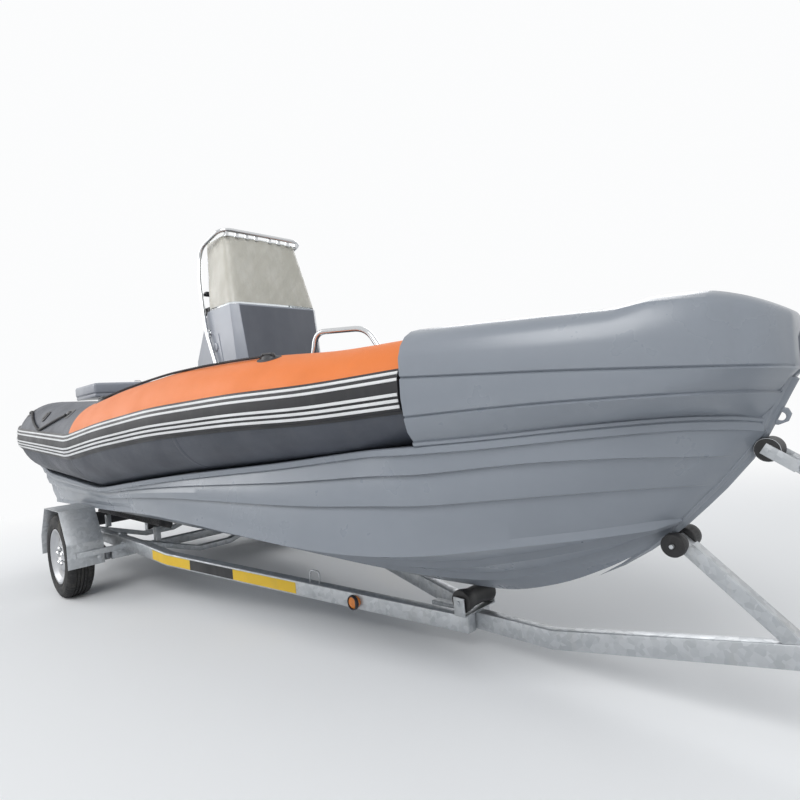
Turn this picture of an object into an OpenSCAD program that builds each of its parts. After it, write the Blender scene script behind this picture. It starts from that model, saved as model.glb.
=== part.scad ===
// Rigid inflatable boat with a hard bow, standing on its single-axle road trailer.
// X runs to the bow, Y to port and Z up. The ground is Z = 0 and the wheel axle is at X = 0.

/* [Boat] */
// Length of the boat from the tube cones to the nose
boat_l = 5550; // [4500:10:6800]
// Half of the beam over the tubes
half_beam = 1040; // [900:5:1250]
// Diameter of the tubes along the cockpit
tube_d = 560; // [440:5:660]
// Diameter of the tubes where they enter the hard bow
tube_bow_d = 400; // [330:5:480]
// Height of the keel above the ground
keel_z = 300; // [260:5:340]
// Width of the rubbing strake
strake_w = 137; // [90:1:180]
// Thickness of the rubbing strake
strake_t = 16; // [8:1:26]
// Thickness of the transom board
transom_t = 50; // [30:1:70]
// Thickness of the cockpit floor panel
floor_t = 14; // [8:1:22]

/* [Console] */
// Width of the console
console_w = 640; // [520:5:760]
// Height of the console above the floor
console_h = 1080; // [860:5:1200]
// Height of the windscreen above the console
screen_h = 470; // [320:5:560]
// Diameter of the stainless rails
rail_d = 25; // [18:1:32]
// Diameter of the steering wheel
helm_d = 340; // [260:5:400]

/* [Lockers] */
// Length of the stern locker
locker_l = 420; // [300:5:500]
// Width of the stern locker
locker_w = 820; // [500:5:900]
// Height of the stern locker
locker_h = 665; // [650:5:760]
// Thickness of the locker walls and lid
locker_t = 12; // [8:1:20]

/* [Wheels] */
// Diameter of the road tyre
tyre_d = 584; // [540:2:620]
// Width of the road tyre
tyre_w = 175; // [145:5:190]
// Diameter of the rim lip
rim_d = 384; // [330:2:410]
// Distance from the centreline to the outer face of the wheel
wheel_out = 1010; // [960:5:1080]
// Diameter of the jockey wheel
jockey_d = 200; // [160:5:225]

/* [Trailer] */
// Width of the square side rails and the drawbar
rail_w = 60; // [50:1:70]
// Height of the side rails
rail_h = 80; // [60:1:90]
// Length of the drawbar ahead of the rails
drawbar_l = 2350; // [2100:10:2600]
// Diameter of the tow ball
ball_d = 50; // [48:0.1:50]
// Diameter of the keel rollers
roller_d = 84; // [70:1:100]

/* [Hidden] */
eps = 0.3;
deck_gap = 0.4;
// The boat is drawn 5550 long, 2080 wide, and scaled along and across from there.
kx = boat_l / 5550;
ky = half_beam / 1040;
nose_x = 4200 * kx;
joint_x = 3150 * kx;
transom_x = -950 * kx;
sole_z = keel_z + 465;
bow_foot = keel_z + 700;
bow_top = keel_z + 1125;

// Tubes: [x, outer half breadth, height of the centre above the keel, diameter]
tube_table = [
    [-1350 * kx, half_beam - 170, 890, tube_d * 0.30],
    [-1310 * kx, half_beam - 110, 885, tube_d * 0.50],
    [-750 * kx, half_beam + 0, 840, tube_d],
    [560 * kx, half_beam, 765, tube_d],
    [660 * kx, half_beam - 2, 768, tube_d],
    [1100 * kx, half_beam - 28, 815, tube_d * 0.995],
    [1700 * kx, half_beam - 92, 862, tube_d * 0.96],
    [2300 * kx, half_beam - 205, 882, tube_d * 0.88],
    [2750 * kx, half_beam - 300, 882, (tube_d * 0.80 + tube_bow_d) / 2],
    [joint_x - 1, half_beam - 415, 902, tube_bow_d]];
function column(table, c) = [for (r = table) [r[0], r[c]]];
function tube_r(x) = lookup(x, column(tube_table, 3)) / 2;
function tube_y(x) = lookup(x, column(tube_table, 1)) - tube_r(x);
function tube_z(x) = keel_z + lookup(x, column(tube_table, 2));

// Hull under the cockpit: [x, keel height, chine half breadth, chine height], heights above the keel line
hull_table = [
    [transom_x, 10, 760 * ky, 300],
    [-750 * kx, 9, 768 * ky, 306],
    [560 * kx, 1, 800 * ky, 345],
    [660 * kx, 0, 800 * ky, 350],
    [1100 * kx, -1, 800 * ky, 368],
    [1700 * kx, -3, 775 * ky, 360],
    [2300 * kx, -4, 710 * ky, 318],
    [2750 * kx, -5, 630 * ky, 292]];
// Hull under the hard bow, up the stem: the same columns
stem_table = [
    [joint_x, 22, 530 * ky, 308],
    [3400 * kx, 100, 405 * ky, 350],
    [3650 * kx, 225, 260 * ky, 415],
    [3850 * kx, 380, 122 * ky, 490],
    [4000 * kx, 555, 56 * ky, 605],
    [4090 * kx, 660, 38 * ky, 690],
    [4110 * kx, 700, 34 * ky, 725]];
// Hard bow: [x, half breadth at its widest, half breadth of its foot, height of its foot]
bow_table = [
    [joint_x, half_beam - 396, half_beam - 440, 700],
    [3400 * kx, 575 * ky, 520 * ky, 706],
    [3650 * kx, 490 * ky, 410 * ky, 715],
    [3850 * kx, 405 * ky, 295 * ky, 722],
    [4000 * kx, 325 * ky, 180 * ky, 728],
    [4090 * kx, 262 * ky, 92 * ky, 735],
    [4130 * kx, 225 * ky, 50 * ky, 800],
    [4165 * kx, 178 * ky, 58 * ky, 845],
    [nose_x, 90 * ky, 44 * ky, 868]];
function bow_y(x) = lookup(x, column(bow_table, 1));
function foot_y(x) = lookup(x, column(bow_table, 2));
function foot_z(x) = keel_z + lookup(x, column(bow_table, 3));

axle_z = tyre_d / 2;
cross_rear_x = -800;
wheel_y = wheel_out - tyre_w / 2;
rail_front_x = 2920;
rail_y = 640;
rail_z = 345;
drawbar_z = keel_z - roller_d - rail_h / 2 - 26;
drawbar_lift = 185;
drawbar_w = 50;
drawbar_x = 2650;
coupling_x = rail_front_x + drawbar_l;
post_x = 4620 * kx;
jockey_x = 4900;
arm_l = 170;
front_roller_x = rail_front_x - 20;
rear_roller_x = cross_rear_x + 30;
function roller_place(x) = keel_z - roller_d / 2 - 1 + (x > 0 ? -5 : 9);
console_x = 1480 * kx;
screen_lean = 125;
screen_in = 50;
locker_x = -660 * kx;

module skin(rings) {
    n = len(rings[0]);
    m = len(rings);
    polyhedron(
        points = [for (r = rings) each r],
        faces = concat(
            [[for (j = [0:n - 1]) j]],
            [for (i = [0:m - 2], j = [0:n - 1]) each [
                [i * n + j, (i + 1) * n + j, (i + 1) * n + (j + 1) % n],
                [i * n + j, (i + 1) * n + (j + 1) % n, i * n + (j + 1) % n]]],
            [[for (j = [n - 1:-1:0]) (m - 1) * n + j]]));
}

function unit(v) = v / norm(v);
function along(path, i) = unit(path[min(i + 1, len(path) - 1)] - path[max(i - 1, 0)]);
function side_of(d) = unit(cross(d, abs(d[2]) > 0.9 ? [0, 1, 0] : [0, 0, 1]));

// A round bar along a path. The side vector is carried from the first one, so that it does not twist.
function carried(path, i, a) = i == 0 ? a : let (d = along(path, i), p = carried(path, i - 1, a))
    unit(p - (p * d) * d);
module bar(path, r, sides = 12) {
    first = side_of(along(path, 0));
    skin([for (i = [0:len(path) - 1]) let (d = along(path, i), a = carried(path, i, first), b = cross(d, a))
        [for (k = [0:sides - 1]) path[i] + r * (cos(360 * k / sides) * a + sin(360 * k / sides) * b)]]);
}

// Rounds the corners of a path with arcs of a quadratic curve.
function bezier(a, b, c, t) = (1 - t) * (1 - t) * a + 2 * t * (1 - t) * b + t * t * c;
function rounded(p, r, n = 5) = concat([p[0]],
    [for (i = [1:len(p) - 2]) let (q = min(r, norm(p[i] - p[i - 1]) / 2, norm(p[i + 1] - p[i]) / 2),
        a = p[i] + q * unit(p[i - 1] - p[i]), c = p[i] + q * unit(p[i + 1] - p[i]))
        each [for (k = [0:n]) bezier(a, p[i], c, k / n)]],
    [p[len(p) - 1]]);

module both() {
    children();
    mirror([0, 1, 0]) children();
}

module beam(a, b, w, h) {
    d = b - a;
    l = norm(d);
    translate(a)
        rotate([0, -asin(d[2] / l), atan2(d[1], d[0])])
            translate([0, -w / 2, -h / 2])
                cube([l, w, h]);
}

// ---- Boat ----

// One section of the hull: keel, chine, the flange that cradles the tube, and the sole.
function hull_ring(row) = let (x = row[0], r = tube_r(x), ty = tube_y(x), tz = tube_z(x),
        ledge = tz - r - deck_gap,
    foot = [x, ty + r * 0.42, ledge], low = [x, ty, ledge], sole = [x, ty - r * 0.45, min(sole_z, ledge)],
    port = [[x, row[2], keel_z + row[3]], foot, low, sole])
    concat([[x, 0, keel_z + row[1]]], port, [for (i = [3:-1:0]) [port[i][0], -port[i][1], port[i][2]]]);

function stem_ring(row) = let (x = row[0], y = foot_y(x) * 0.985, z = foot_z(x) - deck_gap,
    port = [[x, row[2], keel_z + row[3]], [x, y, z], [x, y * 0.66, z], [x, y * 0.33, z]])
    concat([[x, 0, keel_z + row[1]]], port, [for (i = [3:-1:0]) [port[i][0], -port[i][1], port[i][2]]]);

module hull() {
    color([0.52, 0.55, 0.62])
        skin(concat([for (row = hull_table) hull_ring(row)], [for (row = stem_table) stem_ring(row)]));
}

module cockpit_floor() {
    xs = [transom_x + transom_t + 2, 0, 600 * kx, 1500 * kx, 2100 * kx, 2690 * kx];
    edge = [for (x = xs) [x, tube_y(x) - tube_r(x) - 8]];
    color([0.62, 0.64, 0.67])
        translate([0, 0, sole_z + eps])
            linear_extrude(floor_t)
                polygon(concat([for (p = edge) [p[0], -p[1]]], [for (i = [len(edge) - 1:-1:0]) edge[i]]));
}

module transom() {
    inner_x = transom_x + transom_t;
    inner = tube_y(inner_x) - tube_r(inner_x) - 2;
    notch = 420;
    color([0.50, 0.53, 0.60])
        translate([transom_x, 0, 0])
            difference() {
                translate([0, 0, sole_z + eps])
                    rotate([90, 0, 90])
                        linear_extrude(transom_t)
                            polygon([[-inner, 0], [inner, 0], [inner, 420], [notch / 2 + 40, 420],
                                [notch / 2, 330], [-notch / 2, 330], [-notch / 2 - 40, 420], [-inner, 420]]);
                for (y = [-140, 140], z = [105, 255])
                    translate([-1, y, sole_z + z])
                        rotate([0, 90, 0])
                            cylinder(h = transom_t + 2, d = 13, $fn = 32);
            }
}

// One section of the hard bow: foot, two lapped planks, topside, shoulder and deck.
function shell_ring(row) = let (x = row[0], y = row[1], fy = row[2], fz = keel_z + row[3],
    z1 = max(keel_z + 820, fz + 8), z2 = fz + 0.55 * (z1 - fz), y2 = fy + 0.62 * (y - fy),
    top = bow_top - 50 * (x - joint_x) / (nose_x - joint_x),
    port = [[fy, fz], [y2 - 5, z2], [y2 + 4, z2 + 3], [y - 8, z1], [y, z1 + 6], [y * 0.985, top - 175],
        [y * 0.93, top - 50], [y * 0.85, top - 16], [y * 0.72, top]])
    concat([for (p = port) [x, p[0], p[1]]], [for (i = [8:-1:0]) [x, -port[i][0], port[i][1]]]);

module bow_shell() {
    color([0.52, 0.55, 0.62])
        difference() {
            skin([for (row = bow_table) shell_ring(row)]);
            translate([lid_x, -lid_w / 2, lid_z - eps])
                cube([lid_l, lid_w, 400]);
            translate([lid_x + 25, -lid_w / 2 + 25, lid_z - 220])
                cube([lid_l - 50, lid_w - 50, 300]);
        }
}

lid_x = joint_x + 140 * kx;
lid_l = 420 * kx;
lid_w = 520 * ky;
lid_z = bow_top - 42;
lid_t = 30;

module bow_locker_lid() {
    color([0.55, 0.58, 0.65]) {
        translate([lid_x + 5, -lid_w / 2 + 5, lid_z])
            cube([lid_l - 10, lid_w - 10, lid_t]);
        translate([lid_x + 40, -45, lid_z + lid_t])
            cube([16, 90, 14]);
    }
}

module bow_eye() {
    color([0.52, 0.55, 0.62])
        translate([4110 * kx + eps, 6, keel_z + 700])
            rotate([90, 0, 0])
                difference() {
                    linear_extrude(12)
                        polygon([[0, 2], [26, -2], [52, 8], [62, 30], [54, 48], [20, 56], [0, 40]]);
                    translate([34, 24, -1])
                        cylinder(h = 14, d = 26, $fn = 40);
                }
}

function tube_ring(x, s) = let (r = tube_r(x)) [for (k = [0:27])
    [x, s * (tube_y(x) + r * cos(360 * k / 28)), tube_z(x) + r * sin(360 * k / 28)]];

module tube(s) {
    color([0.25, 0.27, 0.32])
        skin([for (row = tube_table) let (g = tube_ring(row[0], s)) s > 0 ? g : [for (i = [27:-1:0]) g[i]]]);
}
module tube_starboard() { tube(-1); }
module tube_port() { tube(1); }

// Rubbing strake: a moulded band that lies on the outside of the tube.
function strake_ring(x, s) = let (r = tube_r(x), a = min(60, strake_w / 2 / r * 180 / PI),
    inner = [for (k = [-3:3]) let (t = a * k / 3) [r + 2.6, t]],
    outer = [for (k = [3:-1:-3]) let (t = a * 0.9 * k / 3) [r + strake_t * (abs(k) == 3 ? 0.6 : 1), t]])
    [for (p = concat(inner, outer)) [x, s * (tube_y(x) + p[0] * cos(p[1])), tube_z(x) + p[0] * sin(p[1])]];

module strake(s) {
    xs = [-1290 * kx, -750 * kx, 560 * kx, 660 * kx, 1100 * kx, 1700 * kx, 2300 * kx, 2750 * kx, joint_x - 2];
    color([0.09, 0.09, 0.10])
        skin([for (x = xs) let (g = strake_ring(x, s)) s < 0 ? g : [for (i = [len(g) - 1:-1:0]) g[i]]]);
}
module strake_starboard() { strake(-1); }
module strake_port() { strake(1); }

// A point on the tube, at an angle up from the outside, standing off by a distance.
function on_tube(x, angle, off, s) = [x, s * (tube_y(x) + (tube_r(x) + off) * cos(angle)),
    tube_z(x) + (tube_r(x) + off) * sin(angle)];

module pad(x, angle, l, w, t, s) {
    translate(on_tube(x, angle, t / 2 + 3.9, s))
        rotate([s * (angle - 90) , 0, 0])
            cube([l, w, t], center = true);
}

facet = 360 / 28 * 2.5;
rope_angle = 70;
module tube_fittings(s) {
    color([0.07, 0.07, 0.08]) {
        for (x = [720 * kx, 2380 * kx])
            pad(x, rope_angle, 90, 60, 14, s);
        translate(on_tube(-150 * kx, 40, 2, s)) rotate([s * -50, 0, 0]) cylinder(h = 14, d = 90, $fn = 40);
        bar(rounded([on_tube(60 * kx, facet, -1, s), on_tube(60 * kx, facet, 60, s),
            on_tube(330 * kx, facet, 60, s), on_tube(330 * kx, facet, -1, s)], 45, 4), 12, 10);
    }
}
module tube_fittings_starboard() { tube_fittings(-1); }
module tube_fittings_port() { tube_fittings(1); }

module lifeline(s) {
    color([0.06, 0.06, 0.07])
        bar([for (x = [766, 1000, 1300, 1600, 1900, 2150, 2334]) on_tube(x * kx, rope_angle, 12, s)], 7, 8);
}
module lifeline_starboard() { lifeline(-1); }
module lifeline_port() { lifeline(1); }

module grab_rail(s) {
    a = 2480 * kx;
    b = 2860 * kx;
    foot_a = on_tube(a, 108, 5.6, s);
    foot_b = on_tube(b, 108, 5.6, s);
    color([0.80, 0.81, 0.82]) {
        bar(rounded([foot_a, foot_a + [30, 0, 104], foot_b + [-75, 0, 100], foot_b], 70, 6), rail_d / 2, 14);
        for (f = [foot_a, foot_b])
            translate(f)
                rotate([s * 18, 0, 0])
                    cylinder(h = 5, d = 66, center = true, $fn = 40);
    }
}
module grab_rail_starboard() { grab_rail(-1); }
module grab_rail_port() { grab_rail(1); }

console_foot = sole_z + floor_t + 2 * eps;
console_top = console_foot + console_h;
function console_ring(z, x0, x1, w, c) = [[x0, -w / 2, z], [x1 - c, -w / 2, z], [x1, -w / 2 + c, z],
    [x1, w / 2 - c, z], [x1 - c, w / 2, z], [x0, w / 2, z]];

module console() {
    w = console_w;
    color([0.55, 0.57, 0.62])
        difference() {
            skin([console_ring(console_foot, console_x - 640, console_x + 150, w, 60),
                console_ring(console_top - 300, console_x - 520, console_x + 40, w, 50),
                console_ring(console_top, console_x - 330, console_x, w, 40)]);
            skin([console_ring(console_foot - 1, console_x - 600, console_x + 110, w - 60, 40),
                console_ring(console_top - 330, console_x - 490, console_x + 10, w - 60, 30),
                console_ring(console_top - 30, console_x - 300, console_x - 40, w - 60, 20)]);
            translate([console_x - 700, -w / 2 + 90, console_foot + 40])
                cube([240, w - 180, 480]);
            translate([helm_x, 0, helm_z])
                rotate([0, -helm_lean, 0])
                    translate([0, 0, -160])
                        cylinder(h = 150, d = shaft_d + 0.1, $fn = 48);
        }
}

module windscreen() {
    w = console_w - 8;
    t = 6;
    x0 = console_x - 300;
    z = console_top + eps;
    color([0.70, 0.72, 0.70, 0.8])
        difference() {
            skin([console_ring(z, x0, console_x - 4, w, 60),
                console_ring(z + screen_h, x0 - 70, console_x - 4 - screen_lean, w - 2 * screen_in, 90)]);
            skin([console_ring(z - 1, x0 - 20, console_x - 4 - t, w - 2 * t, 58),
                console_ring(z + screen_h + 1, x0 - 90, console_x - 4 - t - screen_lean,
                    w - 2 * screen_in - 2 * t, 88)]);
        }
}

module windscreen_rail() {
    w = console_w / 2 + 21;
    top = console_top + screen_h;
    x = console_x;
    gap = rail_d / 2 + 6;
    side = [[x - 215, -w, console_top - 380], [x - 330, -w, console_top - 120],
        [x - 385, -w + 8, console_top + 240], [x - 385, -w + 30, top - 40],
        [x - screen_lean + gap - 4, -w + screen_in - 10, top + gap]];
    color([0.80, 0.81, 0.82]) {
        bar(rounded(concat(side, [for (i = [4:-1:0]) [side[i][0], -side[i][1], side[i][2]]]), 80, 5),
            rail_d / 2, 14);
        both()
            for (p = [[x - 225, console_top - 358], [x - 321, console_top - 140]])
                translate([p[0], console_w / 2 + eps, p[1]])
                    rotate([-90, 0, 0])
                        cylinder(h = 20, d = 30, $fn = 32);
    }
}

helm_x = console_x - 530;
helm_lean = 70;
shaft_d = 30;
helm_z = console_top - 210;
module steering_wheel() {
    color([0.08, 0.08, 0.09])
        translate([helm_x, 0, helm_z])
            rotate([0, -helm_lean, 0]) {
                rotate_extrude($fn = 64)
                    translate([helm_d / 2 - 14, 0])
                        circle(r = 14, $fn = 20);
                for (k = [0:2])
                    rotate([0, 0, 120 * k + 90])
                        translate([15, -12, -4])
                            cube([helm_d / 2 - 32, 24, 8]);
                translate([0, 0, -32])
                    cylinder(h = 44, d = 60, $fn = 40);
                translate([0, 0, -108])
                    cylinder(h = 90, d = shaft_d, $fn = 48);
            }
}

locker_z = console_foot;
// The locker's deep lid is the seat, and it reaches out over the tubes.
lid_aft = 110;
lid_side = 150;
seat_lid = 115;
module stern_locker() {
    color([0.52, 0.55, 0.62])
        translate([locker_x - locker_l / 2, -locker_w / 2, locker_z])
            difference() {
                cube([locker_l, locker_w, locker_h - locker_t]);
                translate([locker_t, locker_t, locker_t])
                    cube([locker_l - 2 * locker_t, locker_w - 2 * locker_t, locker_h]);
            }
}

module stern_locker_lid() {
    color([0.55, 0.58, 0.64])
        translate([locker_x - locker_l / 2, -locker_w / 2, locker_z + locker_h - locker_t + 2 * eps]) {
            translate([-lid_aft, -lid_side, 0])
                cube([locker_l + lid_aft + 10, locker_w + 2 * lid_side, seat_lid]);
            translate([locker_l - 40, locker_w / 2 - 45, seat_lid])
                cube([18, 90, 16]);
        }
}

// ---- Trailer ----

rail_mid = [900, rail_y - 60, rail_z - 50];
rail_end = [rail_front_x, (rail_w + drawbar_w) / 2 + eps, drawbar_z - 5];
module side_rails() {
    color([0.62, 0.64, 0.67])
        for (s = [-1, 1])
            skin([for (p = [[-900, rail_y, rail_z], [420, rail_y, rail_z], [640, rail_y - 18, rail_z - 12],
                rail_mid, rail_end])
                [for (c = [[-1, -1], [1, -1], [1, 1], [-1, 1]])
                    [p[0], s * p[1] + c[0] * rail_w / 2, p[2] + c[1] * rail_h / 2]]]);
}

cross_front_x = 290;
cross_flat = 128;
cross_h = 40;
cross_top = roller_place(rear_roller_x) - roller_d / 2 - 10 - 8;
cross_out = rail_y - rail_w / 2 - eps;
cross_slope = (rail_z + 16 - cross_top) / (cross_out - cross_flat);

// Height of a cross member's top at a distance from the centreline.
function cross_at(y) = cross_top + max(0, y - cross_flat) * cross_slope;

function cross_row(up, way) = [for (y = [-cross_out, -cross_flat, cross_flat, cross_out])
    [way * y, cross_at(abs(y)) - cross_h + up]];

module cross_members() {
    color([0.62, 0.64, 0.67])
        for (x = [cross_rear_x, cross_front_x])
            translate([x, 0, 0])
                rotate([90, 0, 90])
                    linear_extrude(60)
                        polygon([each cross_row(0, 1), each cross_row(cross_h, -1)]);
}

// Rows of the drawbar: [x, height of its centre]
drawbar_rows = [[drawbar_x, drawbar_z], [3300, drawbar_z], [4350, drawbar_z + drawbar_lift],
    [coupling_x - 160, drawbar_z + drawbar_lift]];
function bar_z(x) = lookup(x, drawbar_rows);
module drawbar() {
    color([0.62, 0.64, 0.67])
        skin([for (p = drawbar_rows)
            [for (c = [[-1, -1], [1, -1], [1, 1], [-1, 1]])
                [p[0], c[0] * drawbar_w / 2, p[1] + c[1] * rail_h / 2]]]);
}

module coupling() {
    x = coupling_x;
    z = bar_z(x) + 16;
    color([0.55, 0.57, 0.60])
        difference() {
            union() {
                translate([x - 250, -28, bar_z(x) + rail_h / 2 + eps])
                    cube([240, 56, 26]);
                translate([x, 0, z])
                    cylinder(h = 56, d = 78, $fn = 48);
                translate([x - 60, -12, z + 55])
                    cube([150, 24, 17]);
            }
            translate([x, 0, z - 1])
                cylinder(h = 46, d = ball_d + 1, $fn = 64);
        }
}

axle_d = 60;
axle_pad = 18;
axle_low = rail_z - rail_h / 2 - axle_d - axle_pad;
module axle_beam() {
    color([0.40, 0.42, 0.44]) {
        translate([arm_l - axle_d / 2, -rail_y - rail_w / 2 - 40, axle_low])
            cube([axle_d, 2 * rail_y + rail_w + 80, axle_d]);
        both() {
            translate([arm_l - 30, rail_y - rail_w / 2, axle_low + axle_d - 1])
                cube([60, rail_w, axle_pad + 1 - eps]);
            for (x = [arm_l - 44, arm_l + 34])
                translate([x, rail_y - rail_w / 2 - 10 - eps, axle_low])
                    cube([10, 10, axle_d + axle_pad + rail_h + 8]);
            translate([arm_l - 44, rail_y - rail_w / 2 - 10 - eps, rail_z + rail_h / 2 + eps])
                cube([88, rail_w + 10, 8 - eps]);
        }
    }
}

hub_y = wheel_out - 92;
module suspension_arm(s) {
    y0 = rail_y + rail_w / 2 + 39.3 + 2 * eps;
    color([0.35, 0.37, 0.39])
        union() {
            beam([arm_l, s * (y0 + 18), axle_low + axle_d / 2], [0, s * (y0 + 18), axle_z], 34, 66);
            translate([0, s * (y0 + 18), axle_z])
                rotate([90, 0, 0])
                    cylinder(h = 34, d = 66, center = true, $fn = 48);
            translate([0, s > 0 ? y0 + 34 : -hub_y + 1, axle_z])
                rotate([-90, 0, 0])
                    cylinder(h = hub_y - y0 - 35, d = 40, $fn = 48);
        }
}
module suspension_arm_starboard() { suspension_arm(-1); }
module suspension_arm_port() { suspension_arm(1); }

module wheel_at(s) {
    translate([0, s * wheel_y, axle_z])
        rotate([s * -90, 0, 0])
            children();
}

module rim(s) {
    half = tyre_w / 2 - 8;
    color([0.72, 0.73, 0.75])
        wheel_at(s)
            difference() {
                rotate_extrude($fn = 96)
                    polygon([[rim_d / 2 - 14, -half], [rim_d / 2, -half], [rim_d / 2, -half + 10],
                        [rim_d / 2 - 22, -half + 24], [rim_d / 2 - 22, half - 24], [rim_d / 2, half - 10],
                        [rim_d / 2, half], [rim_d / 2 - 12, half], [rim_d / 2 - 34, half - 24],
                        [rim_d / 2 - 58, half - 34], [84, half - 20], [70, half - 20], [62, half - 46],
                        [20.05, half - 46], [20.05, -half + 40], [52, -half + 40], [52, half - 60],
                        [66, half - 60], [rim_d / 2 - 62, half - 46], [rim_d / 2 - 34, half - 36],
                        [rim_d / 2 - 34, -half + 24]]);
                for (k = [0:9])
                    rotate([0, 0, 36 * k])
                        translate([rim_d / 2 - 78, 0, half - 60])
                            cylinder(h = 60, d = 26, $fn = 32);
            }
}
module rim_starboard() { rim(-1); }
module rim_port() { rim(1); }

module tyre(s) {
    h = tyre_w / 2;
    color([0.10, 0.10, 0.11])
        wheel_at(s)
            rotate_extrude($fn = 96)
                polygon([[rim_d / 2 + eps, -h + 14], [rim_d / 2 + eps + 6, -h + 4], [rim_d / 2 + 45, -h],
                    [tyre_d / 2 - 26, -h + 6], [tyre_d / 2 - 6, -h + 20], [tyre_d / 2, -h + 38],
                    [tyre_d / 2, h - 38], [tyre_d / 2 - 6, h - 20], [tyre_d / 2 - 26, h - 6],
                    [rim_d / 2 + 45, h], [rim_d / 2 + eps + 6, h - 4], [rim_d / 2 + eps, h - 14]]);
}
module tyre_starboard() { tyre(-1); }
module tyre_port() { tyre(1); }

fender_w = 225;
fender_t = 2.5;
fender_clear = 42;
// The folded outline of a fender, from its front foot over the wheel to its rear foot.
function fender_outline(off) = let (r = tyre_d / 2 + fender_clear + off)
    [[r, axle_z - 45], [r, axle_z + 115], [r * 0.56, axle_z + r * 0.98], [-r * 0.56, axle_z + r * 0.98],
        [-r, axle_z + 115], [-r, axle_z - 20]];

module fender(s) {
    y = wheel_out + 12;
    color([0.58, 0.60, 0.63])
        translate([0, s > 0 ? y : -y + fender_w, 0])
            rotate([90, 0, 0]) {
                linear_extrude(fender_w)
                    difference() {
                        polygon(fender_outline(fender_t));
                        polygon([for (i = [0:5]) fender_outline(0)[i] - [0, i == 0 || i == 5 ? 30 : 0]]);
                    }
            }
    inner = rail_y + rail_w / 2 + eps;
    front = tyre_d / 2 + fender_clear + fender_t + eps;
    for (x = [front, -front - 22])
        color([0.58, 0.60, 0.63])
            translate([x, s > 0 ? inner : -wheel_out + 40, axle_z + 22])
                cube([22, wheel_out - 40 - inner, 36]);
}
module fender_starboard() { fender(-1); }
module fender_port() { fender(1); }

module keel_roller_brackets() {
    color([0.60, 0.62, 0.65])
        for (x = [front_roller_x, rear_roller_x]) {
            z0 = x > 0 ? drawbar_z + rail_h / 2 + eps : cross_top + eps;
            zc = roller_place(x);
            translate([x - 30, -115, z0])
                cube([60, 230, 5]);
            for (s = [-1, 1])
                translate([x - 30, s * 112 - 3, z0])
                    cube([60, 6, zc - z0 + 22]);
            translate([x, 0, zc])
                rotate([90, 0, 0])
                    cylinder(h = 244, d = 16, center = true, $fn = 32);
        }
}

module keel_rollers() {
    color([0.06, 0.06, 0.07])
        for (x = [front_roller_x, rear_roller_x])
            translate([x, 0, roller_place(x)])
                rotate([90, 0, 0])
                    rotate_extrude($fn = 48)
                        polygon([[8.05, -100], [roller_d / 2 + 10, -100], [roller_d / 2 + 10, -80],
                            [roller_d / 2, -30], [roller_d / 2, 30], [roller_d / 2 + 10, 80],
                            [roller_d / 2 + 10, 100], [8.05, 100]]);
}

// Height of the hull's underside at a distance from the centreline, near the stern.
function bottom_z(x, y) = let (k = lookup(x, column(hull_table, 1)), c = lookup(x, column(hull_table, 3)),
    b = lookup(x, column(hull_table, 2))) keel_z + k + (c - k) * y / b;
bunk_y = 430;
bunk_t = 44;
bunk_w = 96;
bunk_x0 = cross_rear_x - 40;
bunk_x1 = 520;
bunk_drop = 4;
bunk_tilt = atan((bottom_z(0, 500) - bottom_z(0, 400)) / 100);
module bunks() {
    color([0.16, 0.16, 0.17])
        both()
            translate([bunk_x0, bunk_y, bottom_z(bunk_x0, bunk_y) - bunk_drop])
                rotate([bunk_tilt, 0, 0])
                    translate([0, -bunk_w / 2, -bunk_t])
                        cube([bunk_x1 - bunk_x0, bunk_w, bunk_t]);
}

module bunk_supports() {
    top = bottom_z(bunk_x0, bunk_y) - bunk_drop - bunk_t / cos(bunk_tilt) - 20 * tan(bunk_tilt) - eps;
    foot = cross_at(bunk_y + 20) + eps;
    color([0.60, 0.62, 0.65])
        both()
            for (x = [cross_rear_x + 10, cross_front_x + 10])
                translate([x, bunk_y - 20, foot])
                    cube([40, 40, top - foot]);
}

// Where the stem meets the support rollers, and the way that the support points.
stem_touch = [3800 * kx, 0, keel_z + lookup(3800 * kx, column(stem_table, 1))];
stem_roll_r = 34;
stem_axis = stem_touch + [0.66, 0, -0.75] * (stem_roll_r + 6);
module stem_support() {
    top = stem_axis + [26, 0, -22];
    run = 330;
    end = top + run * [0.74, 0, -0.67];
    color([0.62, 0.64, 0.67])
        union() {
            difference() {
                beam(top, end + 60 * unit(end - top), 50, 50);
                skin([for (p = drawbar_rows) [for (c = [[-1, -6], [1, -6], [1, 1], [-1, 1]])
                    [p[0], c[0] * 60, p[1] + c[1] * rail_h / 2 + eps]]]);
            }
            translate([stem_axis[0], 0, stem_axis[2]])
                rotate([90, 0, 0])
                    cylinder(h = 206, d = 14, center = true, $fn = 32);
            translate([stem_axis[0], 0, stem_axis[2]])
                rotate([0, 40, 0])
                    translate([-16, -28, -14])
                        cube([70, 56, 28]);
        }
}

module stem_rollers() {
    color([0.06, 0.06, 0.07])
        both()
            translate([stem_axis[0], 32, stem_axis[2]])
                rotate([-90, 0, 0])
                    rotate_extrude($fn = 48)
                        polygon([[7.05, 0], [stem_roll_r, 0], [stem_roll_r + 6, 34], [stem_roll_r + 4, 60], [7.05, 60]]);
}

post_top = keel_z + 360;
post_w = 60;
module winch_post() {
    base = bar_z(post_x) + rail_h / 2;
    color([0.62, 0.64, 0.67]) {
        translate([post_x - post_w / 2, -post_w / 2, base + eps])
            cube([post_w, post_w, post_top - base]);
        for (s = [-1, 1])
            translate([post_x - 60, s > 0 ? drawbar_w / 2 + eps : -drawbar_w / 2 - 6 - eps, base - 60])
                cube([120, 6, 130]);
    }
}

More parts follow.
